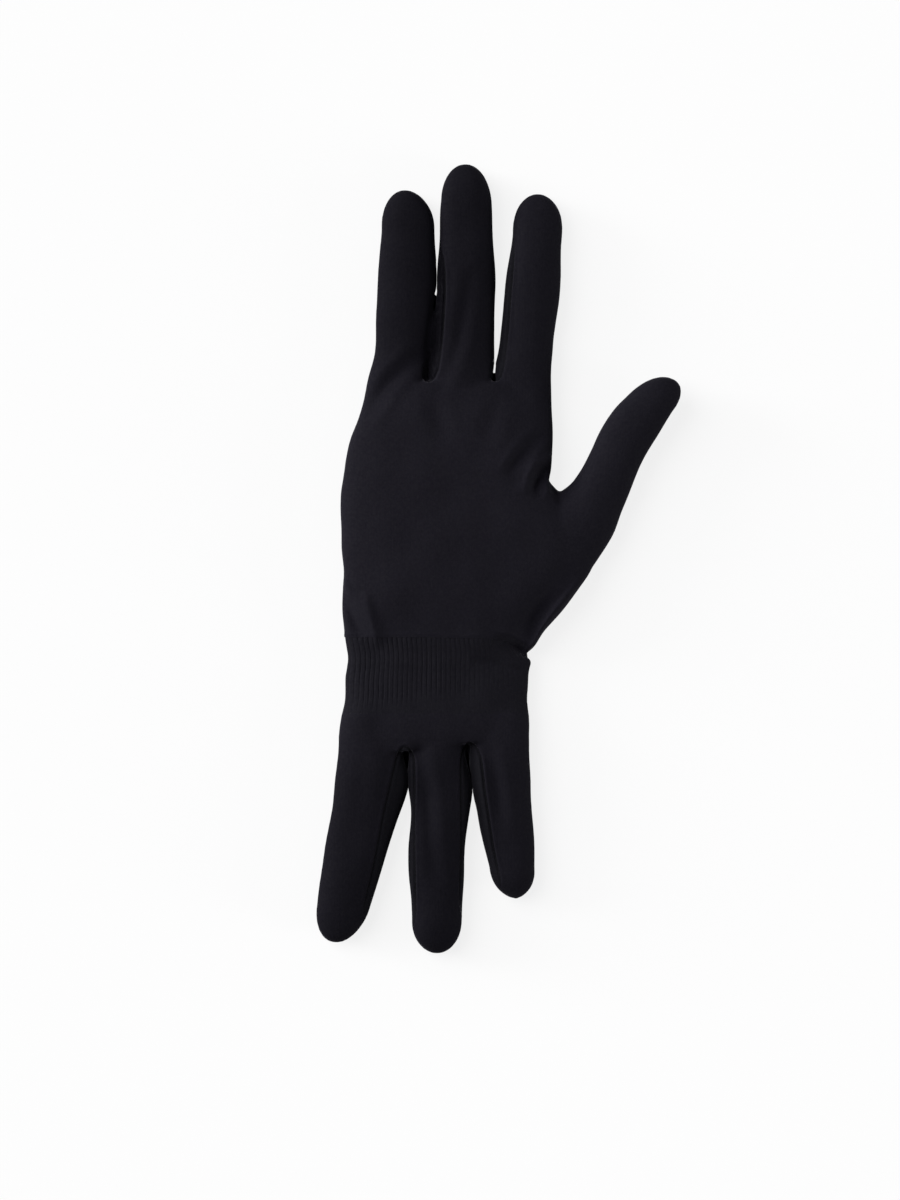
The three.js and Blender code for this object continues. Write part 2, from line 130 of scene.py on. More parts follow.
UPPER_DIGITS = {
    "left_finger": finger(across_rows([
        (53.4, -56.2, -28.2, -0.6, 12.0),
        (63.4, -53.3, -28.6, -0.6, 12.4),
        (72.2, -51.6, -28.6, -0.8, 12.6),
        (83.4, -49.6, -27.2, -0.9, 12.8),
        (95.4, -48.8, -26.1, -0.9, 12.8),
        (103.4, -48.5, -25.2, -0.9, 12.7),
        (109.4, -48.3, -24.7, -0.9, 12.6),
        (121.4, -47.4, -24.8, -0.8, 12.3),
        (131.4, -46.5, -25.5, -0.6, 11.8),
    ]), tip=(-37.0, 147.7, 5.2)),
    "middle_finger": finger(across_rows([
        (53.4, -26.8, -1.6, -0.6, 12.2),
        (63.4, -27.0, -2.0, -0.7, 12.8),
        (72.2, -27.6, -1.7, -0.8, 13.2),
        (77.6, -27.2, -1.7, -0.9, 13.3),
        (84.4, -26.7, -1.7, -0.9, 13.4),
        (95.4, -25.8, -1.5, -0.9, 13.4),
        (103.4, -24.9, -1.2, -0.9, 13.3),
        (109.4, -24.4, -1.0, -0.9, 13.2),
        (117.4, -24.1, -1.1, -0.9, 13.0),
        (127.4, -23.5, -1.4, -0.8, 12.8),
        (143.4, -22.4, -2.4, -0.6, 12.2),
    ]), tip=(-13.6, 158.1, 5.2)),
    "right_finger": finger(across_rows([
        (53.4, -0.6, 21.4, -0.6, 12.0),
        (63.4, -0.8, 21.4, -0.7, 12.4),
        (72.2, -1.5, 21.2, -0.8, 12.8),
        (77.6, -0.8, 21.6, -0.8, 12.9),
        (84.4, 0.6, 22.5, -0.9, 13.0),
        (103.4, 2.2, 24.0, -0.9, 12.9),
        (117.4, 3.9, 24.9, -0.8, 12.5),
        (129.4, 5.5, 25.6, -0.6, 12.0),
    ]), tip=(16.0, 146.1, 5.2)),
    "thumb": finger(leaning_rows([
        (12.0, 18.6, 36.0, -5.4, -1.8, 15.6),
        (27.2, 28.0, 45.2, 8.6, -1.0, 15.2),
        (32.4, 34.0, 49.4, 19.8, -0.2, 15.2),
        (36.8, 42.6, 55.2, 33.0, 1.0, 15.4),
        (41.1, 51.4, 60.8, 44.2, 2.0, 15.8),
        (46.6, 59.8, 65.8, 53.2, 3.0, 16.0),
        (52.0, 65.5, 69.4, 58.6, 3.6, 15.8),
    ]), tip=(69.8, 71.6, 9.6)),
}
LOWER_DIGITS = {
    "lower_left_finger": finger(across_rows([
        (-62.0, -62.2, -38.0, -0.6, 12.0),
        (-70.6, -64.0, -38.4, -0.8, 12.4),
        (-79.4, -64.5, -37.8, -0.9, 12.7),
        (-86.0, -64.8, -36.3, -0.9, 12.8),
        (-91.0, -65.1, -36.1, -0.9, 12.8),
        (-97.6, -65.7, -37.6, -0.9, 12.8),
        (-104.6, -66.8, -40.0, -0.9, 12.8),
        (-110.6, -67.8, -42.2, -0.9, 12.7),
        (-116.6, -68.9, -44.3, -0.9, 12.6),
        (-128.6, -70.9, -48.1, -0.8, 12.3),
        (-138.6, -72.4, -51.3, -0.6, 11.8),
    ]), tip=(-65.2, -153.5, 5.2)),
    "lower_middle_finger": finger(across_rows([
        (-62.0, -36.4, -13.6, -0.6, 12.2),
        (-70.6, -35.8, -13.6, -0.8, 12.6),
        (-79.4, -35.6, -12.8, -0.9, 12.9),
        (-86.0, -36.0, -11.3, -0.9, 13.0),
        (-91.0, -35.7, -10.4, -0.9, 13.0),
        (-95.6, -35.3, -10.8, -0.9, 13.0),
        (-100.6, -35.0, -11.6, -0.9, 13.0),
        (-106.6, -35.0, -12.5, -0.9, 12.9),
        (-112.6, -35.2, -13.2, -0.9, 12.8),
        (-119.0, -35.3, -13.6, -0.8, 12.6),
        (-128.6, -35.3, -13.8, -0.8, 12.4),
        (-143.8, -34.2, -14.4, -0.6, 11.8),
    ]), tip=(-24.4, -158.2, 5.2)),
    "lower_right_finger": finger(across_rows([
        (-62.0, -11.2, 12.0, -0.6, 12.0),
        (-70.6, -11.0, 12.4, -0.8, 12.4),
        (-79.4, -11.6, 12.1, -0.9, 12.6),
        (-86.0, -11.0, 12.4, -0.9, 12.7),
        (-92.0, -10.0, 12.9, -0.9, 12.7),
        (-96.6, -9.1, 13.3, -0.9, 12.7),
        (-100.6, -8.1, 13.6, -0.9, 12.6),
        (-108.6, -6.7, 14.1, -0.8, 12.4),
        (-116.6, -5.0, 14.4, -0.7, 12.0),
        (-123.8, -3.0, 14.3, -0.6, 11.6),
    ]), tip=(7.2, -136.2, 5.0), point=1.3),
}
DIGIT_SQUARENESS = 2.15
print("fingers and thumb:", len(UPPER_DIGITS) + len(LOWER_DIGITS))

# %% The webs between the fingers
WEBS = {
    "upper left": across_rows([
        (64.0, -31.5, -25.0, -0.6, 6.5),
        (76.0, -30.5, -25.2, -0.6, 7.0),
        (84.0, -29.6, -24.8, -0.6, 8.4),
        (92.0, -28.8, -24.0, -0.6, 8.8),
        (100.0, -27.0, -23.0, -0.6, 7.4),
        (105.0, -26.6, -22.8, -0.6, 3.4),
    ]),
    "upper right": across_rows([
        (64.0, -4.0, 2.0, -0.6, 6.4),
        (70.0, -3.8, 1.6, -0.6, 5.8),
        (73.8, -3.4, 1.0, -0.6, 4.6),
    ]),
    "lower left": across_rows([
        (-66.0, -40.5, -33.5, -0.6, 6.5),
        (-77.0, -40.5, -33.5, -0.6, 4.8),
        (-86.0, -38.0, -34.2, -0.6, 3.6),
        (-88.8, -37.6, -34.2, -0.6, 1.8),
    ]),
    "lower right": across_rows([
        (-66.0, -15.5, -8.8, -0.6, 6.5),
        (-78.0, -15.2, -8.8, -0.6, 4.8),
        (-88.0, -12.6, -9.0, -0.6, 3.6),
        (-91.2, -12.0, -8.4, -0.6, 1.8),
    ]),
}
WEB_SQUARENESS = 3.0
print("webs:", len(WEBS))

# %% [markdown]
# ## From sections to a skin
# The sections are joined ring by ring, which Blender users call a loft. Each finger's last
# rings shrink along a quarter circle, so its tip is a round dome. All the lofts overlap. A
# voxel remesh melts them into one closed skin of even faces, as if the shapes had been dipped
# in wax, and a little smoothing softens the creases where they meet.

# %% Curves and rings
RING_SIDES = 96
RINGS_PER_ROW = 8
DOME_RINGS = 15
SMALLEST_RING = 0.02


def spline(rows, count):
    """Evenly spread stations on a Catmull-Rom curve through all the rows."""
    rows = np.asarray(rows, float)
    padded = np.vstack([2 * rows[0] - rows[1], rows, 2 * rows[-1] - rows[-2]])
    station = np.linspace(0, len(rows) - 1, count)
    first = np.minimum(station.astype(int), len(rows) - 2)
    t = (station - first)[:, None]
    a, b, c, d = (padded[first + k] for k in range(4))
    return 0.5 * (2 * b + (c - a) * t + (2 * a - 5 * b + 4 * c - d) * t**2
                  + (3 * b - a - 3 * c + d) * t**3)


def bulged(values, squareness):
    """Sines or cosines pushed outwards, which turns a circle into a rounded square."""
    return np.sign(values) * np.abs(values) ** (2 / squareness)


def ring(row, squareness, size=1.0):
    """One section's outline: an ellipse at squareness 2, flatter on top above that."""
    left_x, left_y, right_x, right_y, low, high = row
    turn = np.linspace(0, 2 * math.pi, RING_SIDES, endpoint=False)
    middle = np.array([left_x + right_x, left_y + right_y, low + high]) / 2
    across = np.array([right_x - left_x, right_y - left_y, 0]) / 2
    upwards = np.array([0, 0, high - low]) / 2
    level = np.outer(bulged(np.cos(turn), squareness) * size, across)
    steep = np.outer(bulged(np.sin(turn), squareness) * size, upwards)
    return middle + level + steep


def skin(rings):
    """Points and faces of a closed loft, with a fan at each end."""
    rings = np.asarray(rings)
    count, sides = rings.shape[:2]
    points = np.vstack([rings.reshape(-1, 3), rings[0].mean(0), rings[-1].mean(0)])
    start, end = count * sides, count * sides + 1
    last = (count - 1) * sides
    faces = []
    for j in range(sides):
        k = (j + 1) % sides
        faces.append((start, k, j))
        faces.append((end, last + j, last + k))
        faces += [(i + j, i + k, i + sides + k, i + sides + j) for i in range(0, last, sides)]
    return points, faces


def trunk_skin(rows, squareness):
    return skin([ring(row, squareness) for row in spline(rows, RINGS_PER_ROW * len(rows))])


def digit_skin(digit):
    """Rings along a finger, then a dome that closes at its tip."""
    rows = spline(digit["rows"], RINGS_PER_ROW * len(digit["rows"]))
    rings = [ring(row, DIGIT_SQUARENESS) for row in rows]
    last = rows[-1]
    middle = np.array([last[0] + last[2], last[1] + last[3], last[4] + last[5]]) / 2
    reach = np.array(digit["tip"]) * MM - middle
    for turn in np.linspace(0, math.pi / 2, DOME_RINGS + 1)[1:]:
        moved = last + np.tile(reach[:2], 3) * [1, 1, 1, 1, 0, 0] * math.sin(turn)
        moved[4:] = last[4:] + reach[2] * math.sin(turn)
        size = max(math.cos(turn) ** digit["point"], SMALLEST_RING)
        rings.append(ring(moved, DIGIT_SQUARENESS, size))
    return skin(rings)


print("sides of a ring:", RING_SIDES)


# %% Meshes in and out
def add_object(name, mesh):
    made = bpy.data.objects.new(name, mesh)
    bpy.context.scene.collection.objects.link(made)
    return made


def mesh_of(name, points, faces):
    mesh = bpy.data.meshes.new(name)
    mesh.from_pydata([tuple(p) for p in points], [], faces)
    work = bmesh.new()
    work.from_mesh(mesh)
    bmesh.ops.recalc_face_normals(work, faces=work.faces)
    work.to_mesh(mesh)
    work.free()
    return mesh


def finished(holder):
    """Runs the holder's one modifier and gives its mesh; the holder is removed."""
    name = holder.name
    bpy.context.view_layer.update()
    evaluated = holder.evaluated_get(bpy.context.evaluated_depsgraph_get())
    mesh = bpy.data.meshes.new_from_object(evaluated)
    old = holder.data
    bpy.data.objects.remove(holder)
    bpy.data.meshes.remove(old)
    mesh.name = name
    return mesh


def modified(name, mesh, kind, **settings):
    """The mesh after one modifier of a kind, such as REMESH or BOOLEAN."""
    holder = add_object(name, mesh)
    modifier = holder.modifiers.new(kind.title(), kind)
    for key, value in settings.items():
        setattr(modifier, key, value)
    return finished(holder)


def melted(name, skins, face):
    """Overlapping closed skins as one closed skin of even square faces."""
    points, faces, used = [], [], 0
    for skin_points, skin_faces in skins:
        points.append(skin_points)
        faces += [tuple(i + used for i in face_ids) for face_ids in skin_faces]
        used += len(skin_points)
    joined = mesh_of(name, np.vstack(points), faces)
    return modified(name, joined, "REMESH", mode="VOXEL", voxel_size=face, adaptivity=0)


def read_points(mesh, what="co"):
    values = np.empty(len(mesh.vertices) * 3)
    mesh.vertices.foreach_get(what, values)
    return values.reshape(-1, 3)


def write_points(mesh, points):
    mesh.vertices.foreach_set("co", np.ascontiguousarray(points, dtype=np.float32).ravel())
    mesh.update()


def read_normals(mesh):
    return read_points(mesh, "normal")


def relaxed(mesh, passes):
    """The points after each has moved half way to the middle of its neighbours, a few times."""
    points = read_points(mesh)
    edges = np.empty(len(mesh.edges) * 2, int)
    mesh.edges.foreach_get("vertices", edges)
    a, b = edges.reshape(-1, 2).T
    count = len(points)
    neighbours = np.bincount(a, minlength=count) + np.bincount(b, minlength=count)
    for _ in range(passes):
        total = np.stack([np.bincount(a, points[b, k], count) + np.bincount(b, points[a, k], count)
                          for k in range(3)], 1)
        points = points + (total / neighbours[:, None] - points) / 2
    return points


# %% [markdown]
# ## Fingers apart, then together
# Two of the fingers almost touch, and a melt at this face size would join them along their
# whole length. So the form is melted with its fingers held apart, as one spreads a glove's
# fingers to see between them, and the melted skin is brought together again. The move grows
# from nothing at the crotch. What lies between two fingers is stretched and then pressed back.

# %% Gaps between the fingers
HELD_APART = 1.8 * MM
APART_WITHIN = 12 * MM
NARROWEST_GAP = 0.2 * MM
EDGE_STATIONS = 200
GAPS = [
    # digits left and right of the gap, height of its crotch, the side that moves
    (UPPER_DIGITS["left_finger"], UPPER_DIGITS["middle_finger"], 71 * MM, "left"),
    (UPPER_DIGITS["middle_finger"], UPPER_DIGITS["right_finger"], 71 * MM, "right"),
    (LOWER_DIGITS["lower_left_finger"], LOWER_DIGITS["lower_middle_finger"], -75 * MM, "left"),
    (LOWER_DIGITS["lower_middle_finger"], LOWER_DIGITS["lower_right_finger"], -73 * MM, "right"),
]


def edge_at(digit, side, heights):
    """How far left or right a finger's edge is at heights up or down the glove."""
    rows = spline(digit["rows"], EDGE_STATIONS)
    x, y = (rows[:, 0], rows[:, 1]) if side == "left" else (rows[:, 2], rows[:, 3])
    order = np.argsort(y)
    return np.interp(heights, y[order], x[order])


def moved_apart(points, back=False):
    """Opens each gap sideways, or closes it again."""
    x, y = points[:, 0], points[:, 1]
    for left_digit, right_digit, crotch, moving in GAPS:
        reach = np.clip((y - crotch) * math.copysign(1, crotch) / APART_WITHIN, 0, 1)
        apart = HELD_APART * reach**2 * (3 - 2 * reach)
        start = edge_at(left_digit, "right", y)
        width = np.maximum(edge_at(right_digit, "left", y) - start, NARROWEST_GAP)
        if moving == "left":
            first = start - apart if back else start
            share = np.clip((x - first) / (width + apart * back), 0, 1)
            x = x + apart * (1 - share) * (1 if back else -1)
        else:
            share = np.clip((x - start) / (width + apart * back), 0, 1)
            x = x + apart * share * (-1 if back else 1)
    return np.column_stack([x, points[:, 1:]])


print("held apart, mm:", HELD_APART / MM)

# %% [markdown]
# ## Resting on the table
# Cloth that lies on a table is flat underneath, with a soft round edge where it lifts off.
# A hard cut at the height of the table would leave a sharp rim. Instead each height goes
# through a smooth curve that is nearly zero below the table and nearly unchanged above it.

# %% The body
SMOOTHING = 5
SHRUNK = 0.2 * MM


def pressed_flat(points):
    """Flattens what is below the table, and sets the lowest point on it."""
    heights = points[:, 2]
    points[:, 2] = (heights + np.sqrt(heights**2 + TABLE_SOFTNESS**2)) / 2
    points[:, 2] -= points[:, 2].min()
    return points


def soft_body():
    """The whole outer skin, melted, smoothed, given its size back and rested on the table."""
    skins = [trunk_skin(PALM, PALM_SQUARENESS), trunk_skin(BAND_AND_HEEL, PALM_SQUARENESS)]
    skins += [trunk_skin(rows, WEB_SQUARENESS) for rows in WEBS.values()]
    skins += [digit_skin(digit) for digit in [*UPPER_DIGITS.values(), *LOWER_DIGITS.values()]]
    skins = [(moved_apart(points), faces) for points, faces in skins]
    made = melted("body", skins, FACE)
    rough = read_points(made)
    outwards = read_normals(made)
    smooth = relaxed(made, SMOOTHING)
    smooth += outwards * max(((rough - smooth) * outwards).sum(1).mean(), SHRUNK)
    write_points(made, pressed_flat(moved_apart(smooth, back=True)))
    return made


body = soft_body()
print("faces:", len(body.polygons))

# %% [markdown]
# ## Folds
# A glove creases where the thumb swings out, at the knuckle and where the band draws the palm
# in. Each fold below is a short path over the cloth with a width and a depth. The cloth sinks
# along the path, and pushes up a little beside it, as real cloth does because it keeps its
# length. A depth below zero is a raised fold. Folds die away at both ends. The deep pocket at
# the right end of the band, with the rolled edge of the heel above it, marks this glove most.

# %% The folds
FOLDS = [
    # path, width and depth in millimetres, and the share of the depth that rises beside it
    # Round the thumb's crotch
    ([(16, 48), (12.4, 44.4), (8.4, 40), (5.4, 35.4), (4, 32)], 2.2, 1.3, 0.3),
    ([(20.5, 36), (18, 34.6), (16.4, 32), (15.4, 28), (14.6, 24)], 2.2, 2.9, 0.5),
    ([(16.5, 42), (13, 36.5), (9.6, 30), (7, 25)], 1.8, -0.6, 0.0),
    ([(22, 30), (21.4, 28.4), (23.6, 25.4), (25.4, 22)], 1.2, 0.9, 0.4),
    # Over the left knuckle
    ([(-33, 80), (-39, 74.5), (-45, 68.5), (-50, 61), (-55, 54)], 3.0, 1.3, 0.3),
    # Left of the heel
    ([(-62.5, -14), (-59.8, -19), (-57, -25), (-54, -32)], 2.4, 1.9, 0.2),
    ([(-62, -6), (-61, -10), (-58.6, -17)], 1.3, -0.8, 0.0),
    ([(-48.5, -33), (-49.4, -28), (-52, -19), (-53.5, -13)], 2.0, -1.4, 0.0),
    # Right of the heel: a shallow valley, the rolled edge, the pocket and the lip over it
    ([(8.4, -34), (13.2, -25), (20.6, -14.4), (28.6, -3.6)], 4.0, 1.9, 0.0),
    ([(13.4, -36.2), (18.8, -26), (26, -16.8), (35, -5.5)], 1.5, -2.3, 0.0),
    ([(10.2, -37.6), (8.6, -36.4), (4.4, -34.4), (-2.4, -32.6)], 2.5, 4.5, 0.0),
    ([(16, -34.6), (11.4, -33.8), (5.4, -31.2), (-2, -29.2)], 2.0, -1.0, 0.0),
    # Over the right end of the band
    ([(-1.5, -36.2), (4, -37.8), (9, -39.4), (15, -41)], 1.3, -0.3, 0.0),
    ([(-8, -41), (-1, -42.4), (6, -44.4), (14, -45.6)], 2.2, 1.1, 0.0),
    # Below the upper crotches and along the middle finger
    ([(-26, 62), (-24, 55), (-20, 46)], 3.4, 0.6, 0.2),
    ([(-1, 62), (-3, 54), (-5, 46)], 3.4, 0.6, 0.2),
    ([(-11, 112), (-13.6, 99), (-16, 86), (-20, 74), (-24.6, 64)], 2.6, 0.8, 0.2),
    # Along the lower fingers
    ([(-31.5, -77), (-28.6, -91), (-27.6, -105), (-26.6, -118), (-24.6, -131)], 2.8, 1.0, 0.3),
    ([(-3, -77), (-1.2, -88), (0.4, -99), (1.2, -113)], 2.6, 0.9, 0.3),
    ([(-54, -80), (-54.6, -92), (-56, -104)], 3.6, 0.5, 0.0),
]
FOLD_REACH = 4
FOLD_STARTS_AT = 0.14
FOLD_FULLNESS = 0.7
BESIDE_AT = 1.9
BESIDE_WIDTH = 0.5


def path_points(path, step=0.4 * MM):
    """Close points on a smooth curve through a path in millimetres."""
    path = np.array(path) * MM
    length = np.linalg.norm(np.diff(path, axis=0), axis=1).sum()
    return spline(path, max(int(length / step), 8))


def folded(points, normals, folds):
    """Sinks the upper side along each fold and raises the cloth beside it."""
    facing_up = np.clip(normals[:, 2] * 2, 0, 1)
    for path, width, depth, beside in folds:
        along = path_points(path)
        low = along.min(0) - FOLD_REACH * width * MM
        high = along.max(0) + FOLD_REACH * width * MM
        inside = ((points[:, :2] > low) & (points[:, :2] < high)).all(1)
        near = np.where(inside & (facing_up > 0))[0]
        apart = np.linalg.norm(points[near, None, :2] - along[None], axis=2)
        place = apart.argmin(1) / (len(along) - 1)
        away = apart.min(1) / (width * MM)
        along_fold = np.clip(place * (1 - FOLD_STARTS_AT) + FOLD_STARTS_AT, 0, 1)
        dies_away = np.sin(math.pi * along_fold) ** FOLD_FULLNESS
        valley = np.exp(-(away**2)) - beside * np.exp(-((away - BESIDE_AT) ** 2) / BESIDE_WIDTH)
        points[near, 2] -= depth * MM * valley * dies_away * facing_up[near]
    return points


write_points(body, folded(read_points(body), read_normals(body), FOLDS))
print("folds:", len(FOLDS))

# %% [markdown]
# ## Small unevenness
# No worn cloth is as even as a formula. A handful of long, shallow waves in fixed directions
# lifts and sinks the skin by a few tenths of a millimetre. They are too weak to see one by
# one, but they break up the highlights as on real cloth.

# %% Waves in the cloth
WAVES = 14
WAVE_LENGTHS = (14 * MM, 46 * MM)
WAVE_HEIGHT = 0.22 * MM
CALM_BELOW = 3 * MM
wave_seed = np.random.default_rng(7)
wave_axes = wave_seed.normal(size=(WAVES, 3))
wave_axes /= np.linalg.norm(wave_axes, axis=1)[:, None]
wave_axes *= 2 * math.pi / wave_seed.uniform(*WAVE_LENGTHS, WAVES)[:, None]
wave_starts = wave_seed.uniform(0, 2 * math.pi, WAVES)


def uneven(mesh):
    """Moves the skin along its normals by the waves, but leaves it flat on the table."""
    points, normals = read_points(mesh), read_normals(mesh)
    height = np.sin(points @ wave_axes.T + wave_starts).sum(1) / math.sqrt(WAVES / 2)
    off_table = np.clip(points[:, 2] / CALM_BELOW, 0, 1)
    write_points(mesh, points + normals * (height * off_table * WAVE_HEIGHT)[:, None])


uneven(body)
print("height, mm:", round(read_points(body)[:, 2].max() / MM, 1))

# %% [markdown]
# ## Where the seams run
# Between two fingers a narrow strip of cloth is sewn in, so that each finger is round and
# not a flat bag. Seen from above, a strip comes a few millimetres round onto each finger,
# turns round the crotch, and narrows away towards the fingertip. The outline below is that
# of the strip. Its edge, dropped onto the cloth from above and from below, is the seam. The
# upper fingers are so close that only one side of each strip shows. Its other side ends in
# the gap, and its first points carry no seam there.

# %% Strip outlines
UPPER_STRIPS = {
    "side_strip_left": [
        (-24.2, 134), (-24.3, 124), (-24.5, 112), (-25.3, 101.6), (-26.2, 93), (-27.1, 85),
        (-28.4, 79.4), (-30.0, 76), (-30.0, 72.4), (-28.0, 70.4), (-25.8, 71.6), (-24.2, 74.6),
        (-23.3, 78.4), (-22.7, 83.4), (-22.1, 89.4), (-21.7, 96), (-21.3, 103.4), (-21.2, 110),
        (-21.4, 116), (-22.0, 121), (-23.2, 126.4), (-25.4, 132),
    ],
    "side_strip_right": [
        (2.4, 134), (1.6, 121), (0.8, 109), (-0.1, 96), (-0.6, 85), (-1.8, 79), (-3.2, 76),
        (-3.0, 72.4), (-1.1, 70.7), (0.9, 72.2), (2.2, 76), (3.2, 83.4), (4.0, 91.4),
        (4.9, 104), (5.7, 114), (6.3, 121), (6.4, 127), (5.4, 133), (3.4, 138),
    ],
}
LOWER_STRIPS = {
    "lower_side_strip_left": [
        (-50.4, -147), (-53.4, -141), (-52.5, -134.6), (-50.5, -126.6), (-47.9, -113.8),
        (-45.6, -101.8), (-43.2, -91.3), (-40.9, -81.4), (-39.4, -77.0), (-37.4, -75.2),
        (-35.1, -76.6), (-33.6, -80.4), (-33.3, -90), (-33.4, -105), (-33.3, -120),
        (-33.0, -135), (-33.0, -143), (-34.8, -150),
    ],
    "lower_side_strip_right": [
        (-13.4, -147), (-15.2, -138), (-15.1, -128), (-14.8, -116), (-14.8, -104),
        (-14.9, -92), (-14.9, -82), (-14.2, -77), (-12.6, -74.2), (-11.2, -73.4), (-9.4, -74.6),
        (-7.7, -77.4), (-6.5, -82), (-5.2, -93.3), (-3.5, -104.6), (-1.9, -115), (-0.2, -123.4),
        (1.0, -129), (0.4, -134),
    ],
}
UNSEWN_POINTS = {"side_strip_left": 6, "side_strip_right": 5}
STRIP_STEP = 0.8 * MM
DROP_HEIGHT = 0.1


def strip_outline(path, grow=0.0):
    """A strip's outline, closed across the gap between its fingertips, and grown by a distance."""
    outline = path_points(path, STRIP_STEP)
    along = np.gradient(outline, axis=0)
    along /= np.linalg.norm(along, axis=1)[:, None]
    outwards = np.stack([along[:, 1], -along[:, 0]], 1)
    x, y = outline.T
    turns_left = (x * np.roll(y, -1) - y * np.roll(x, -1)).sum() > 0
    return outline + outwards * (grow if turns_left else -grow)


def seam_on(tree, outline):
    """The outline dropped onto the cloth from above, and raised onto it from below."""
    runs = []
    for start_z, way in ((DROP_HEIGHT, (0, 0, -1)), (-DROP_HEIGHT, (0, 0, 1))):
        hits = [tree.ray_cast((x, y, start_z), way)[0] for x, y in outline]
        runs.append(np.array([hit for hit in hits if hit is not None]))
    return runs


def tree_of(mesh):
    """A search tree over a mesh's faces, for rays and nearest points."""
    return BVHTree.FromPolygons([v.co for v in mesh.vertices], [p.vertices for p in mesh.polygons])


body_tree = tree_of(body)
strip_seams = []
for name, path in {**UPPER_STRIPS, **LOWER_STRIPS}.items():
    sewn_part = path[UNSEWN_POINTS.get(name, 0):]
    strip_seams += seam_on(body_tree, strip_outline(sewn_part))
print("seams:", len(strip_seams))

# %% [markdown]
# ## Cutting the cloth like a pattern
# The closed skin becomes cloth in two cuts. A second, smaller skin is taken out of it, which
# leaves a hollow wall. Then the wall is cut at the band, and the strips are stamped out of it
# along their outlines, as with a pastry cutter, so that both sides of each seam fit. The
# opening for the wrist is cut the same way, out of the underside. Booleans with the manifold
# solver keep every piece closed. The skin is divided once more near the seams first.

# %% Walls
SEAM_BAND = 1.7 * MM
BAND_EDGE = -61.8 * MM
WRIST_PATH = [
    (-70, -31.4), (-50, -31.5), (-31.2, -31.4), (-14, -31.8), (-1.2, -32.2),
    (6.4, -34.8), (12.8, -39.4), (22, -43),
]
WRIST_SEAM = spline(np.array(WRIST_PATH) * MM, 120)
WRIST_STEPS = 240


def places_along(path):
    """How far along a path each of its points is."""
    return np.concatenate([[0], np.cumsum(np.linalg.norm(np.diff(path, axis=0), axis=1))])


def points_at(distances, place, path):
    """Points at distances along a path, by the place of each of its own points."""
    return np.stack([np.interp(distances, place, path[:, k]) for k in range(3)], 1)


def close_points(runs, step=0.15 * MM):
    """A search tree over points a small step apart along runs of seam."""
    places = [places_along(run) for run in runs]
    dense = np.vstack([points_at(np.arange(0, place[-1], step), place, run)
                       for run, place in zip(runs, places)])
    found = KDTree(len(dense))
    for i, point in enumerate(dense):
        found.insert(point, i)
    found.balance()
    return found


def distance_to(found, points):
    return np.array([found.find(p)[2] for p in points])


def divided_near(mesh, found, reach=SEAM_BAND):
    """Splits the faces near the seams into four."""
    work = bmesh.new()
    work.from_mesh(mesh)
    near = {v for v in work.verts if found.find(v.co)[2] < reach}
    edges = [e for e in work.edges if e.verts[0] in near and e.verts[1] in near]
    bmesh.ops.subdivide_edges(work, edges=edges, cuts=1, use_grid_fill=True)
    work.to_mesh(mesh)
    work.free()


def lining_of(body):
    """A coarser skin one wall thickness inside a body."""
    inner = body.copy()
    write_points(inner, read_points(body) - read_normals(body) * WALL)
    return modified("lining", inner, "REMESH", mode="VOXEL", voxel_size=LINING_FACE, adaptivity=0)


def cut(name, mesh, tool_mesh, operation):
    tool = add_object("tool", tool_mesh)
    result = modified(name, mesh, "BOOLEAN", operation=operation, solver="MANIFOLD", object=tool)
    bpy.data.objects.remove(tool)
    return result


def prism(outline, bottom=-10 * MM, top=60 * MM):
    """The space over a flat outline, between a height under the glove and one over it."""
    count = len(outline)
    points = [(x, y, z) for z in (bottom, top) for x, y in outline]
    faces = [(i, (i + 1) % count, count + (i + 1) % count, count + i) for i in range(count)]
    faces += [tuple(range(count - 1, -1, -1)), tuple(range(count, 2 * count))]
    return mesh_of("prism", points, faces)


FAR = 0.3
left_end, right_end = WRIST_SEAM[0], WRIST_SEAM[-1]
beyond = [(FAR, right_end[1]), (FAR, FAR), (-FAR, FAR), (-FAR, left_end[1])]
above_wrist = np.vstack([WRIST_SEAM, beyond])
below_band = [(-FAR, -FAR), (FAR, -FAR), (FAR, BAND_EDGE), (-FAR, BAND_EDGE)]
MOUTH = {"x": -25.2 * MM, "half_width": 29 * MM, "depth": 8.5 * MM, "height": 3.5 * MM}
MOUTH_SIDES = 90
mouth_turn = np.linspace(0, 2 * math.pi, MOUTH_SIDES, endpoint=False)
mouth_outline = np.stack([MOUTH["x"] + MOUTH["half_width"] * np.cos(mouth_turn),
                          BAND_EDGE + MOUTH["depth"] * np.sin(mouth_turn)], 1)

near_strips = close_points(strip_seams)
near_wrist = close_points(seam_on(body_tree, spline(WRIST_SEAM, WRIST_STEPS)))
outer = body.copy()
divided_near(outer, near_strips)
divided_near(outer, near_wrist)
wall = cut("wall", outer, lining_of(body), "DIFFERENCE")
upper_wall = cut("upper_hand", wall.copy(), prism(above_wrist), "INTERSECT")
lower_wall = cut("lower_hand", wall, prism(below_band), "INTERSECT")
lower_wall = cut("lower_hand", lower_wall, prism(mouth_outline, top=MOUTH["height"]), "DIFFERENCE")
print("wall faces:", len(upper_wall.polygons), len(lower_wall.polygons))


# %% Strips and hands
def stamped(wall, strips):
    """The strips stamped out of a wall, and the wall that is left."""
    pieces = {}
    for name, path in strips.items():
        kept = prism(strip_outline(path, -SEAM_GAP / 2))
        cleared = prism(strip_outline(path, SEAM_GAP / 2))
        pieces[name] = cut(name, wall.copy(), kept, "INTERSECT")
        wall = cut(wall.name, wall, cleared, "DIFFERENCE")
    return pieces, wall


upper_strips, upper_hand = stamped(upper_wall, UPPER_STRIPS)
lower_strips, lower_hand = stamped(lower_wall, LOWER_STRIPS)
print("pieces:", {n: len(m.polygons) for n, m in {**upper_strips, **lower_strips}.items()})

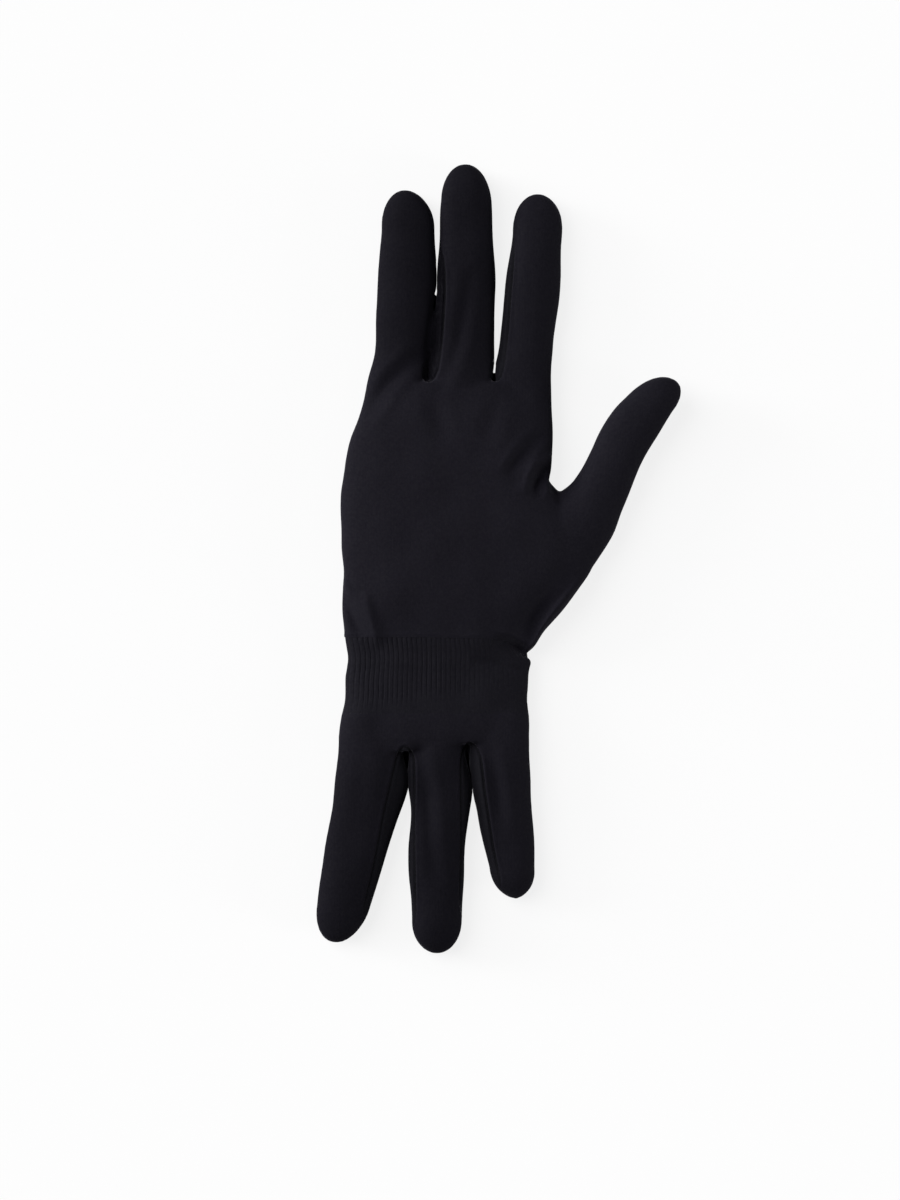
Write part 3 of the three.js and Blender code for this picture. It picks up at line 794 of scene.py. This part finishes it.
# %% [markdown]
# ## Pulling the seams in
# Thread pulls the two edges of a seam down into the cloth, and the cloth swells a little on
# both sides. Each point of the outer face near a seam is moved along its normal by one
# curve of its distance to the seam: down close to it, slightly up beside it. The groove fades
# away towards the ends of a seam. At the band the palm has no groove. Its edge only swells a
# little over the ribs, as a lip.

# %% Seam grooves
GROOVE_DEPTH = 0.42 * MM
GROOVE_WIDTH = 0.42 * MM
SWELL = 0.24 * MM
SWELL_AT = 1.15 * MM
SWELL_WIDTH = 0.5 * MM
SEW_WITHIN = 3 * MM
ON_OUTER_FACE = 0.12 * MM
SEAM_FADES = 14 * MM
WRIST_GROOVE = -0.06 * MM
WRIST_SWELL = 0.16 * MM


def sewn(mesh, tree, found, depth=GROOVE_DEPTH, swell=SWELL, ends=()):
    """Sinks the outer face along the seams. Rims and lining stay as they are."""
    points = read_points(mesh)
    apart = distance_to(found, points)
    for i in np.where(apart < SEW_WITHIN)[0]:
        _, normal, _, off = tree.find_nearest(points[i])
        if off < ON_OUTER_FACE:
            to_end = min([np.linalg.norm(points[i] - end) for end in ends], default=SEAM_FADES)
            groove = depth * math.exp(-((apart[i] / GROOVE_WIDTH) ** 2))
            rise = swell * math.exp(-(((apart[i] - SWELL_AT) / SWELL_WIDTH) ** 2))
            points[i] += np.array(normal) * (rise - groove) * min(to_end / SEAM_FADES, 1)
    points[:, 2] = np.maximum(points[:, 2], 0)
    write_points(mesh, points)


def length_of(runs):
    return sum(places_along(run)[-1] for run in runs)


seam_ends = [run[k] for run in strip_seams for k in (0, -1)]
sewn(upper_hand, body_tree, near_wrist, WRIST_GROOVE, WRIST_SWELL)
for mesh in [upper_hand, lower_hand, *upper_strips.values(), *lower_strips.values()]:
    sewn(mesh, body_tree, near_strips, ends=seam_ends)
print("seam length, mm:", round(length_of(strip_seams) / MM))

# %% [markdown]
# ## The thread in the seams
# A seam is closed by thread that lies in its groove. Each stitch is one small rounded bar.
# Geometry Nodes walk along the seam, set a point every stitch length and put a bar there
# that points along the seam. So one bar and a few paths give more than a thousand stitches.

# %% Geometry Nodes helpers
def new_tree(name, *inputs):
    """A Geometry Nodes group with a geometry in and out and named inputs."""
    tree = bpy.data.node_groups.new(name, "GeometryNodeTree")
    tree.interface.new_socket("Geometry", in_out="INPUT", socket_type="NodeSocketGeometry")
    tree.interface.new_socket("Geometry", in_out="OUTPUT", socket_type="NodeSocketGeometry")
    for label, kind, default in inputs:
        made = tree.interface.new_socket(label, in_out="INPUT", socket_type="NodeSocket" + kind)
        if default is not None:
            made.default_value = default
    return tree


def put(tree, kind, *sockets, **settings):
    """Adds a node, sets its properties, and feeds its inputs with values or other sockets."""
    made = tree.nodes.new(kind)
    for key, value in settings.items():
        setattr(made, key, value)
    for socket, value in zip([s for s in made.inputs if s.enabled], sockets):
        if isinstance(value, bpy.types.NodeSocket):
            tree.links.new(value, socket)
        elif value is not None:
            socket.default_value = value
    return next(s for s in made.outputs if s.enabled) if made.outputs else None


def math_in(tree, operation, *values):
    return put(tree, "ShaderNodeMath", *values, operation=operation)


def give_out(tree, geometry, material):
    """Ends a tree: its instances become real, and get a material."""
    real = put(tree, "GeometryNodeRealizeInstances", geometry)
    dressed = put(tree, "GeometryNodeSetMaterial", real, None, material)
    tree.links.new(dressed, tree.nodes.new("NodeGroupOutput").inputs[0])


def set_inputs(modifier, **values):
    """Sets a modifier's inputs by the identifiers of their sockets."""
    for item in modifier.node_group.interface.items_tree:
        label = item.name.lower().replace(" ", "_")
        if item.item_type == "SOCKET" and item.in_out == "INPUT" and label in values:
            modifier[item.identifier] = values[label]


def grown(name, mesh, tree, **inputs):
    """The plain mesh that a Geometry Nodes tree makes from a mesh or a curve."""
    holder = add_object(name, mesh)
    modifier = holder.modifiers.new("Nodes", "NODES")
    modifier.node_group = tree
    set_inputs(modifier, **inputs)
    return finished(holder)


print("helpers ready for nodes in", bpy.app.version_string)

# %% Stitches
STITCH_PITCH = 1.3 * MM
STITCH_STRETCH = 3.4
STITCH_SIDES = 8
STITCH_RINGS = 6
THREAD_RADIUS = 0.22 * MM
THREAD_DEPTH = 0.34 * MM


def stitch_tree():
    """A rounded bar at every stitch length of a path, pointing along it."""
    tree = new_tree("Stitches", ("Pitch", "Float", STITCH_PITCH),
                    ("Thread Radius", "Float", THREAD_RADIUS), ("Material", "Material", None))
    given = tree.nodes.new("NodeGroupInput").outputs
    path = put(tree, "GeometryNodeMeshToCurve", given["Geometry"])
    along = tree.nodes.new("GeometryNodeCurveToPoints")
    along.mode = "LENGTH"
    tree.links.new(path, along.inputs["Curve"])
    tree.links.new(given["Pitch"], along.inputs["Length"])
    bar = put(tree, "GeometryNodeMeshUVSphere", STITCH_SIDES, STITCH_RINGS, given["Thread Radius"])
    longer = put(tree, "ShaderNodeCombineXYZ", 1.0, 1.0, STITCH_STRETCH)
    turn = put(tree, "FunctionNodeAlignRotationToVector", None, 1.0, along.outputs["Tangent"],
               axis="Z")
    placed = tree.nodes.new("GeometryNodeInstanceOnPoints")
    tree.links.new(along.outputs["Points"], placed.inputs["Points"])
    tree.links.new(bar, placed.inputs["Instance"])
    tree.links.new(turn, placed.inputs["Rotation"])
    tree.links.new(longer, placed.inputs["Scale"])
    give_out(tree, placed.outputs["Instances"], given["Material"])
    return tree


def thread_paths(name, runs, tree):
    """Seam runs as edges, sunk a little below the cloth."""
    points, edges = [], []
    for run in runs:
        first = len(points)
        for point in run:
            surface, normal, _, _ = tree.find_nearest(point)
            points.append(surface - normal * THREAD_DEPTH)
        edges += [(i, i + 1) for i in range(first, len(points) - 1)]
    mesh = bpy.data.meshes.new(name)
    mesh.from_pydata(points, edges, [])
    return mesh


stitches = stitch_tree()
print("stitches:", round(length_of(strip_seams) / STITCH_PITCH))

# %% [markdown]
# ## The ribbed band
# A knitted rib is a row of rounded ridges with narrow valleys, and it runs from the palm down
# into the lower hand. It could be drawn ridge by ridge, but it follows a rule: the same ridge,
# repeated round the wrist. So a smooth tube is made first, with each point's share of the way
# round kept as an attribute. Its top edge is the wrist seam. Its other rows are found by rays
# from the middle of the wrist out to the body's own surface.

# %% Rows round the wrist
RIBS = 76
POINTS_PER_RIB = 12
BAND_POINTS = RIBS * POINTS_PER_RIB
BAND_ROWS = 44
BAND_MIDDLE = (-24.5 * MM, 3.5 * MM)
RAYS = 1440
CALMED_OVER = 161
WRIST_POINTS = 4000
WRIST_TUCK = 0.12 * MM


def outline_point(tree, y, turn):
    """Where a ray from the middle of the band, at a height and a turn, meets the body."""
    middle = Vector((BAND_MIDDLE[0], y, BAND_MIDDLE[1]))
    return tree.ray_cast(middle, Vector((math.cos(turn), 0, math.sin(turn))))[0]


def wrist_outline(tree, turns):
    """The wrist seam all round, at turns round the middle of the band."""
    around = np.vstack(seam_on(tree, spline(WRIST_SEAM, WRIST_POINTS)))
    turn = np.arctan2(around[:, 2] - BAND_MIDDLE[1], around[:, 0] - BAND_MIDDLE[0])
    found = [np.interp(turns, turn, around[:, k], period=2 * math.pi) for k in range(3)]
    return np.stack(found, 1)


def spread(path, count, measured):
    """Points evenly spread along a path, by the length of a calmer path in its place."""
    place = places_along(measured[:, ::2])
    return points_at(np.arange(count) / count * place[-1], place, path)


def spread_round(outline, count, measured):
    """The same round the wrist, but each side apart, so that the middle ribs run straight."""
    half = len(outline) // 2
    return np.vstack([spread(outline[:half + 1], count // 2, measured[:half + 1]),
                      spread(outline[half:], count // 2, measured[half:])])


def closed(points):
    return np.vstack([points, points[:1]])


def calmed(outline):
    """A closed outline without its small folds: each point is the mean of its neighbours."""
    points = outline[:-1]
    half = CALMED_OVER // 2
    padded = np.vstack([points[-half:], points, points[:half + 1]])
    share = np.ones(CALMED_OVER) / CALMED_OVER
    return np.stack([np.convolve(padded[:, k], share, "valid") for k in range(3)], 1)


def band_rows(tree):
    """Rows of points round the band, from the palm's edge down to the lower hand."""
    turns = math.pi / 2 + np.linspace(0, 2 * math.pi, RAYS + 1)
    top_edge = wrist_outline(tree, turns) + [0, WRIST_TUCK, 0]
    rows = []
    for share in np.linspace(0, 1, BAND_ROWS):
        heights = top_edge[:, 1] + (BAND_EDGE - top_edge[:, 1]) * share
        outline = np.array([outline_point(tree, y, turn) for y, turn in zip(heights, turns)])
        if share == 0:
            outline = top_edge
        outline = closed(spread_round(outline, RAYS, outline))
        rows.append(spread_round(outline, BAND_POINTS, calmed(outline)))
    return np.array(rows)


outer_rows = band_rows(body_tree)
print("rows round the wrist:", len(outer_rows))

# %% The smooth tube
BAND_WALL = 1.1 * MM
TOP_SINKS = 0.12 * MM
LIP_INSET = 1.5 * MM
LIP_LENGTH = 1.6 * MM
INNER_ROWS = slice(3, None, 6)


def with_inner_side(rows):
    """The outer rows, a lip that reaches up inside the palm, and fewer rows for the inside."""
    towards_core = (rows.mean(1, keepdims=True) - rows) * [1, 0, 1]
    towards_core /= np.linalg.norm(towards_core, axis=2)[:, :, None]
    rows = rows.copy()
    rows[0] += towards_core[0] * TOP_SINKS
    lip = rows[0] + towards_core[0] * LIP_INSET
    lip_end = lip + [0, LIP_LENGTH, 0]
    inner_lip = lip_end + towards_core[0] * BAND_WALL / 2
    inner_rows = rows[INNER_ROWS] + towards_core[INNER_ROWS] * (LIP_INSET + BAND_WALL / 2)
    return np.concatenate([inner_rows[::-1], [inner_lip, lip_end, lip], rows])


def tube_mesh(rows):
    """A closed wall: each row is joined to the next one, and the last to the first."""
    faces = []
    for row in range(len(rows)):
        this = row * BAND_POINTS
        following = (row + 1) % len(rows) * BAND_POINTS
        for j in range(BAND_POINTS):
            k = (j + 1) % BAND_POINTS
            faces.append((this + j, this + k, following + k, following + j))
    return mesh_of("rib_band", rows.reshape(-1, 3), faces)


tube_rows = with_inner_side(outer_rows)
tube = tube_mesh(tube_rows)
print("band faces:", len(tube.polygons))

# %% [markdown]
# ## Where the ribs are deep
# The ribs don't look the same everywhere. They stand out most just below the palm, as the
# teeth of a comb, and fade where the cloth turns smooth again. On the right, where the cloth
# is stretched, they are flatter, and everywhere they are a little patchy. A second attribute
# keeps that strength. Geometry Nodes then push the points in by both.

# %% How deep the ribs are
RIB_DEPTH = 0.22 * MM
FULL_DOWN_TO = {"x": (-60, -20, 0, 12), "y": (-55, -50, -46, -44)}
FADE_LENGTH = 9
FLATTER_RIGHT = {"x": (-22, 2), "share": (1, 0.45)}
PATCH_SIZES = (5.3 * MM, 4.1 * MM)
PATCHINESS = 0.18
COMB_EXTRA = 0.8
COMB_LENGTH = 1.6 * MM


def rib_strength(points, top_heights):
    """How deep the ribs are at each point, as a share of their depth."""
    x, y = points[:, 0], points[:, 1]
    full_down_to = np.interp(x / MM, FULL_DOWN_TO["x"], FULL_DOWN_TO["y"])
    fade = np.clip((y / MM - (full_down_to - FADE_LENGTH)) / FADE_LENGTH, 0, 1)
    patches = np.sin(x / PATCH_SIZES[0]) * np.sin(y / PATCH_SIZES[1])
    patchy = 1 - PATCHINESS + PATCHINESS * patches
    flatter = np.interp(x / MM, FLATTER_RIGHT["x"], FLATTER_RIGHT["share"])
    comb = 1 + COMB_EXTRA * np.exp(-((top_heights - y) / COMB_LENGTH) ** 2)
    return fade**2 * (3 - 2 * fade) * patchy * flatter * comb


around = np.tile(np.arange(BAND_POINTS) / BAND_POINTS, len(tube_rows))
top_heights = np.tile(outer_rows[0, :, 1], len(tube_rows))
strength = rib_strength(tube_rows.reshape(-1, 3), top_heights)
strength[:-len(outer_rows) * BAND_POINTS] = 0
for label, values in (("around", around), ("rib_strength", strength)):
    tube.attributes.new(label, "FLOAT", "POINT").data.foreach_set("value", values)
print("strongest rib:", round(float(strength.max()), 2))

# %% Geometry Nodes for the ribs
VALLEY_SHARPNESS = 3.2


def rib_tree():
    """Sinks narrow valleys between the ribs, by the two attributes of the tube."""
    tree = new_tree("Knit ribs", ("Ribs", "Float", float(RIBS)), ("Rib Depth", "Float", RIB_DEPTH),
                    ("Material", "Material", None))
    given = tree.nodes.new("NodeGroupInput").outputs
    around = put(tree, "GeometryNodeInputNamedAttribute", "around", data_type="FLOAT")
    strength = put(tree, "GeometryNodeInputNamedAttribute", "rib_strength", data_type="FLOAT")
    place = math_in(tree, "FRACT", math_in(tree, "MULTIPLY", around, given["Ribs"]))
    off_ridge = math_in(tree, "ABSOLUTE", math_in(tree, "SUBTRACT", place, 0.5))
    to_valley = math_in(tree, "MULTIPLY", off_ridge, 2.0)
    valley = math_in(tree, "POWER", to_valley, VALLEY_SHARPNESS)
    share = math_in(tree, "MULTIPLY", valley, strength)
    sink = math_in(tree, "MULTIPLY", share, given["Rib Depth"])
    inwards = math_in(tree, "MULTIPLY", sink, -1.0)
    normal = put(tree, "GeometryNodeInputNormal")
    offset = put(tree, "ShaderNodeVectorMath", normal, inwards, operation="SCALE")
    moved = put(tree, "GeometryNodeSetPosition", given["Geometry"], None, None, offset)
    give_out(tree, moved, given["Material"])
    return tree


ribs = rib_tree()
print("rib nodes:", len(ribs.nodes))

# %% [markdown]
# ## Black that still shows its shape
# Near-black knit reflects less than one part in a hundred of the light, and almost none of it
# as gloss. What shows its form is the sheen of its fine fibres, which catch light at grazing
# angles. The colour is not plain black: it drifts a little over the palm. On the fingers,
# most on the left, colour, gloss and sheen are turned down as painted shade. The loops of the
# knit show as a very fine relief. Their pattern reads object coordinates: seen from above on
# the top, and from the side on the steep faces.

# %% Knit loops
WALE = 0.62 * MM
COURSE = 0.46 * MM
LEG_SLOPE = 1.1
COLUMN_ROUNDNESS = 0.5


def loops_group():
    """Height of a plain knit: columns of small V shapes."""
    tree = bpy.data.node_groups.new("Knit loops", "ShaderNodeTree")
    for label in ("Across", "Along"):
        tree.interface.new_socket(label, in_out="INPUT", socket_type="NodeSocketFloat")
    tree.interface.new_socket("Height", in_out="OUTPUT", socket_type="NodeSocketFloat")
    given = tree.nodes.new("NodeGroupInput").outputs
    column = math_in(tree, "FRACT", math_in(tree, "DIVIDE", given["Across"], WALE))
    leg = math_in(tree, "ABSOLUTE", math_in(tree, "SUBTRACT", column, 0.5))
    rise = math_in(tree, "MULTIPLY", leg, LEG_SLOPE)
    climb = math_in(tree, "ADD", math_in(tree, "DIVIDE", given["Along"], COURSE), rise)
    loop = math_in(tree, "SINE", math_in(tree, "MULTIPLY", math_in(tree, "FRACT", climb), math.pi))
    rounded = math_in(tree, "SINE", math_in(tree, "MULTIPLY", column, math.pi))
    height = math_in(tree, "MULTIPLY", loop, math_in(tree, "POWER", rounded, COLUMN_ROUNDNESS))
    tree.links.new(height, tree.nodes.new("NodeGroupOutput").inputs[0])
    return tree


knit_loops = loops_group()
print("loops to a centimetre:", round(10 * MM / WALE), "by", round(10 * MM / COURSE))

# %% The parts of a cloth
DRIFT_NOISE = (38.0, 3.0, 0.55)
FUZZ_NOISE = (900.0, 2.0, 0.6)
FUZZ_SHARE = 0.35
STEEP_FROM = (0.6, 0.8)
# Painted shade on the fingers: where it begins and is full, how strong it is, and the share the
# right side keeps.
FINGERS_FROM = (58 * MM, 90 * MM)
FINGER_SHADE_STRENGTH = 0.28
RIGHT_HALF = (-3 * MM, 6 * MM)
RIGHT_SHARE = 0.45


def drifting_colour(tree, coordinates, dark, light):
    """A colour that drifts between two near blacks over a few centimetres."""
    drift = put(tree, "ShaderNodeTexNoise", coordinates["Object"], *DRIFT_NOISE)
    return put(tree, "ShaderNodeMix", drift, (*dark, 1), (*light, 1), data_type="RGBA")


def painted_finger_shade(tree, place):
    """Painted shade: the share of colour, gloss and sheen the fingers keep, least on the left."""
    on_fingers = put(tree, "ShaderNodeMapRange", math_in(tree, "ABSOLUTE", place["Y"]),
                     *FINGERS_FROM, 0.0, 1.0, interpolation_type="SMOOTHSTEP")
    less_right = put(tree, "ShaderNodeMapRange", place["X"], *RIGHT_HALF, 1.0, RIGHT_SHARE,
                     interpolation_type="SMOOTHSTEP")
    # Painted shade: how far each point is darkened, full on the left fingers, less on the right.
    dense = math_in(tree, "MULTIPLY", on_fingers, less_right)
    return math_in(tree, "SUBTRACT", 1.0, math_in(tree, "MULTIPLY", dense, FINGER_SHADE_STRENGTH))


def knit_height(tree, coordinates, place, fuzz):
    """Height of the loops and of the fuzz over them."""
    facing = put(tree, "ShaderNodeSeparateXYZ", coordinates["Normal"]).node.outputs
    heights = []
    for across in (place["X"], place["Z"]):
        loops = tree.nodes.new("ShaderNodeGroup")
        loops.node_tree = knit_loops
        tree.links.new(across, loops.inputs["Across"])
        tree.links.new(place["Y"], loops.inputs["Along"])
        heights.append(loops.outputs["Height"])
    steep = put(tree, "ShaderNodeMapRange", math_in(tree, "ABSOLUTE", facing["X"]),
                *STEEP_FROM, 0.0, 1.0)
    part_side = math_in(tree, "MULTIPLY", heights[1], steep)
    part_top = math_in(tree, "MULTIPLY", heights[0], math_in(tree, "SUBTRACT", 1.0, steep))
    knit = math_in(tree, "ADD", part_side, part_top)
    return math_in(tree, "ADD", knit, math_in(tree, "MULTIPLY", fuzz, FUZZ_SHARE))


print("fingers are darker by, %:", round(100 * FINGER_SHADE_STRENGTH))

# %% The cloths
GLOSS = 0.12
SHEEN_ROUGHNESS = 0.30
SHEEN_TINT = (0.86, 0.84, 1.0, 1)
FUZZ_RANGE = (0.3, 0.7)
FIBRE_ROUGHNESS = (0.78, 0.95)
LOOP_HEIGHT = 0.12 * MM


def knit_cloth(name, dark, light, sheen, relief):
    """A fine black knit: drifting colour, painted shade on the fingers, fibre sheen and a relief
    of loops.
    """
    material = bpy.data.materials.new(name)
    material.use_nodes = True
    tree = material.node_tree
    shader = tree.nodes["Principled BSDF"].inputs
    coordinates = tree.nodes.new("ShaderNodeTexCoord").outputs
    place = put(tree, "ShaderNodeSeparateXYZ", coordinates["Object"]).node.outputs

    # Painted shade: colour, gloss and sheen are turned down on the fingers, most on the left.
    kept = painted_finger_shade(tree, place)
    colour = drifting_colour(tree, coordinates, dark, light)
    shaded_colour = put(tree, "ShaderNodeVectorMath", colour, kept, operation="SCALE")
    tree.links.new(shaded_colour, shader["Base Color"])
    tree.links.new(math_in(tree, "MULTIPLY", kept, GLOSS), shader["Specular IOR Level"])
    tree.links.new(math_in(tree, "MULTIPLY", kept, sheen), shader["Sheen Weight"])
    shader["Sheen Roughness"].default_value = SHEEN_ROUGHNESS
    shader["Sheen Tint"].default_value = SHEEN_TINT

    fuzz = put(tree, "ShaderNodeTexNoise", coordinates["Object"], *FUZZ_NOISE)
    rough = put(tree, "ShaderNodeMapRange", fuzz, *FUZZ_RANGE, *FIBRE_ROUGHNESS)
    tree.links.new(rough, shader["Roughness"])
    bump = tree.nodes.new("ShaderNodeBump")
    bump.inputs["Strength"].default_value = relief
    bump.inputs["Distance"].default_value = LOOP_HEIGHT
    tree.links.new(knit_height(tree, coordinates, place, fuzz), bump.inputs["Height"])
    tree.links.new(bump.outputs["Normal"], shader["Normal"])
    return material


stretch_jersey = knit_cloth("stretch_jersey", dark=(0.0040, 0.0035, 0.0066),
                            light=(0.0063, 0.0055, 0.0096), sheen=0.175, relief=0.5)
strip_jersey = knit_cloth("strip_jersey", dark=(0.0041, 0.0038, 0.0062),
                          light=(0.0060, 0.0057, 0.0086), sheen=0.175, relief=0.5)
rib_knit = knit_cloth("rib_knit", dark=(0.0038, 0.0034, 0.0060),
                      light=(0.0057, 0.0051, 0.0085), sheen=0.150, relief=0.5)
seam_thread = knit_cloth("seam_thread", dark=(0.0030, 0.0030, 0.0040),
                         light=(0.0046, 0.0046, 0.0056), sheen=0.06, relief=0.2)
print("cloths:", [m.name for m in (stretch_jersey, strip_jersey, rib_knit, seam_thread)])

# %% [markdown]
# ## Dressing the frame
# Each finished mesh now becomes a piece: it rides on the glove's one body, takes the place
# of its plain solids and wears its cloth. The stitches are extra and take no solid's place.
# Smooth shading rounds the faces off, and the rims of the cloth, which turn by a right
# angle, stay crisp.

# %% Pieces
RIM_ANGLE = math.radians(50)


def dress(name, mesh, cloth, slot, *nodes):
    """Makes a mesh a piece in a cloth, in the place of the frame's nodes."""
    mesh.materials.clear()
    mesh.materials.append(cloth)
    mesh.polygons.foreach_set("material_index", np.zeros(len(mesh.polygons), np.int32))
    mesh.shade_smooth()
    mesh.set_sharp_from_angle(angle=RIM_ANGLE)
    piece = add_object(name, mesh)
    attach(piece, "root")
    if nodes:
        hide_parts(*nodes)
    mesh.calc_loop_triangles()
    print(name, len(mesh.loop_triangles), "triangles")


ribbed = grown("ribbed_band", tube, ribs, ribs=float(RIBS), rib_depth=RIB_DEPTH, material=rib_knit)
dress("upper_hand_cloth", upper_hand, stretch_jersey, "stretch_cloth",
      "hand_shell", *UPPER_DIGITS)
dress("lower_hand_cloth", lower_hand, stretch_jersey, "stretch_cloth",
      "lower_hand_shell", *LOWER_DIGITS)
dress("ribbed_band", ribbed, rib_knit, "rib_knit", "rib_band")
for name, mesh in {**upper_strips, **lower_strips}.items():
    dress(name + "_cloth", mesh, strip_jersey, "strip_cloth", name)
thread = grown("seam_stitches", thread_paths("seam_stitches", strip_seams, body_tree), stitches,
               pitch=STITCH_PITCH, thread_radius=THREAD_RADIUS, material=seam_thread)
dress("seam_stitches", thread, seam_thread, "strip_cloth")

# %% [markdown]
# ## Table, light and camera
# The glove lies on a plain white surface under one large, soft light from the upper left: a
# sun with a wide angle, which is the same all over the table. A pale sky fills the shadows.
# Two low suns draw a thin bright rim along the edges. A white table would throw so much light
# back up that black cloth loses its dark sides. Photographers hang up black cards against
# that. Here the table is white to the camera and grey to every other ray, which does the
# same. The camera looks straight down.

# %% The table
TABLE_SIZE = 20.0
TABLE_SEEN = 0.15
TABLE_GLOW = 0.825
TABLE_THROWS_BACK = 0.24


def grey(value):
    return (value, value, value, 1)


def table():
    """A wide sheet that only the camera sees as white."""
    mesh = bpy.data.meshes.new("table")
    half = TABLE_SIZE / 2
    corners = [(-half, -half, 0), (half, -half, 0), (half, half, 0), (-half, half, 0)]
    mesh.from_pydata(corners, [], [(0, 1, 2, 3)])
    made = add_object("table", mesh)
    white = bpy.data.materials.new("white_table")
    white.use_nodes = True
    tree = white.node_tree
    tree.nodes.clear()
    seen = put(tree, "ShaderNodeBsdfDiffuse", grey(TABLE_SEEN))
    glow = put(tree, "ShaderNodeEmission", grey(1), TABLE_GLOW)
    to_camera = put(tree, "ShaderNodeAddShader", seen, glow)
    elsewhere = put(tree, "ShaderNodeBsdfDiffuse", grey(TABLE_THROWS_BACK))
    ray = tree.nodes.new("ShaderNodeLightPath").outputs["Is Camera Ray"]
    mixed = put(tree, "ShaderNodeMixShader", ray, elsewhere, to_camera)
    tree.links.new(mixed, tree.nodes.new("ShaderNodeOutputMaterial").inputs["Surface"])
    mesh.materials.append(white)


table()
print("table, m:", TABLE_SIZE)

# %% Light
scene = bpy.context.scene
scene.view_settings.view_transform = "Standard"
scene.view_settings.look = "None"
SKY_STRENGTH = 0.20
SKY_COLOUR = (0.97, 0.98, 1.0, 1)
SUNS = [
    # name, where it shines from, strength, angle in degrees
    ("soft_window", (-0.78, 0.46, 0.86), 2.7, 50),
    ("left_rim", (-1.0, 0.30, 0.20), 3.2, 20),
    ("right_rim", (0.95, -0.26, 0.16), 1.6, 20),
]


def light():
    """The pale sky and the suns."""
    sky = bpy.data.worlds.new("pale_sky")
    sky.use_nodes = True
    background = sky.node_tree.nodes["Background"]
    background.inputs["Color"].default_value = SKY_COLOUR
    background.inputs["Strength"].default_value = SKY_STRENGTH
    scene.world = sky
    for name, shines_from, strength, angle in SUNS:
        lamp = bpy.data.lights.new(name, "SUN")
        lamp.energy = strength
        lamp.angle = math.radians(angle)
        made = add_object(name, lamp)
        made.rotation_euler = Vector(shines_from).to_track_quat("Z", "Y").to_euler()


light()
print("suns:", len(SUNS))

# %% Camera
PHOTO_HEIGHT = 1200
METRES_PER_PIXEL = 0.40 * MM
PHOTO_MIDDLE = (-19.2 * MM, -16.6 * MM)
LENS = 135.0
SENSOR = 36.0
OUTLINE_HEIGHT = 7 * MM
NEAREST_SEEN = 0.05
FARTHEST_SEEN = 50


def camera():
    """A long lens straight above, at the photo's scale at the height of the outline."""
    data = bpy.data.cameras.new("camera")
    data.sensor_width = SENSOR
    data.lens = LENS
    data.clip_start = NEAREST_SEEN
    data.clip_end = FARTHEST_SEEN
    made = add_object("camera", data)
    away = PHOTO_HEIGHT * METRES_PER_PIXEL * LENS / SENSOR
    made.location = (*PHOTO_MIDDLE, away + OUTLINE_HEIGHT)
    scene.camera = made
    print("camera height, m:", round(made.location.z, 2))


camera()
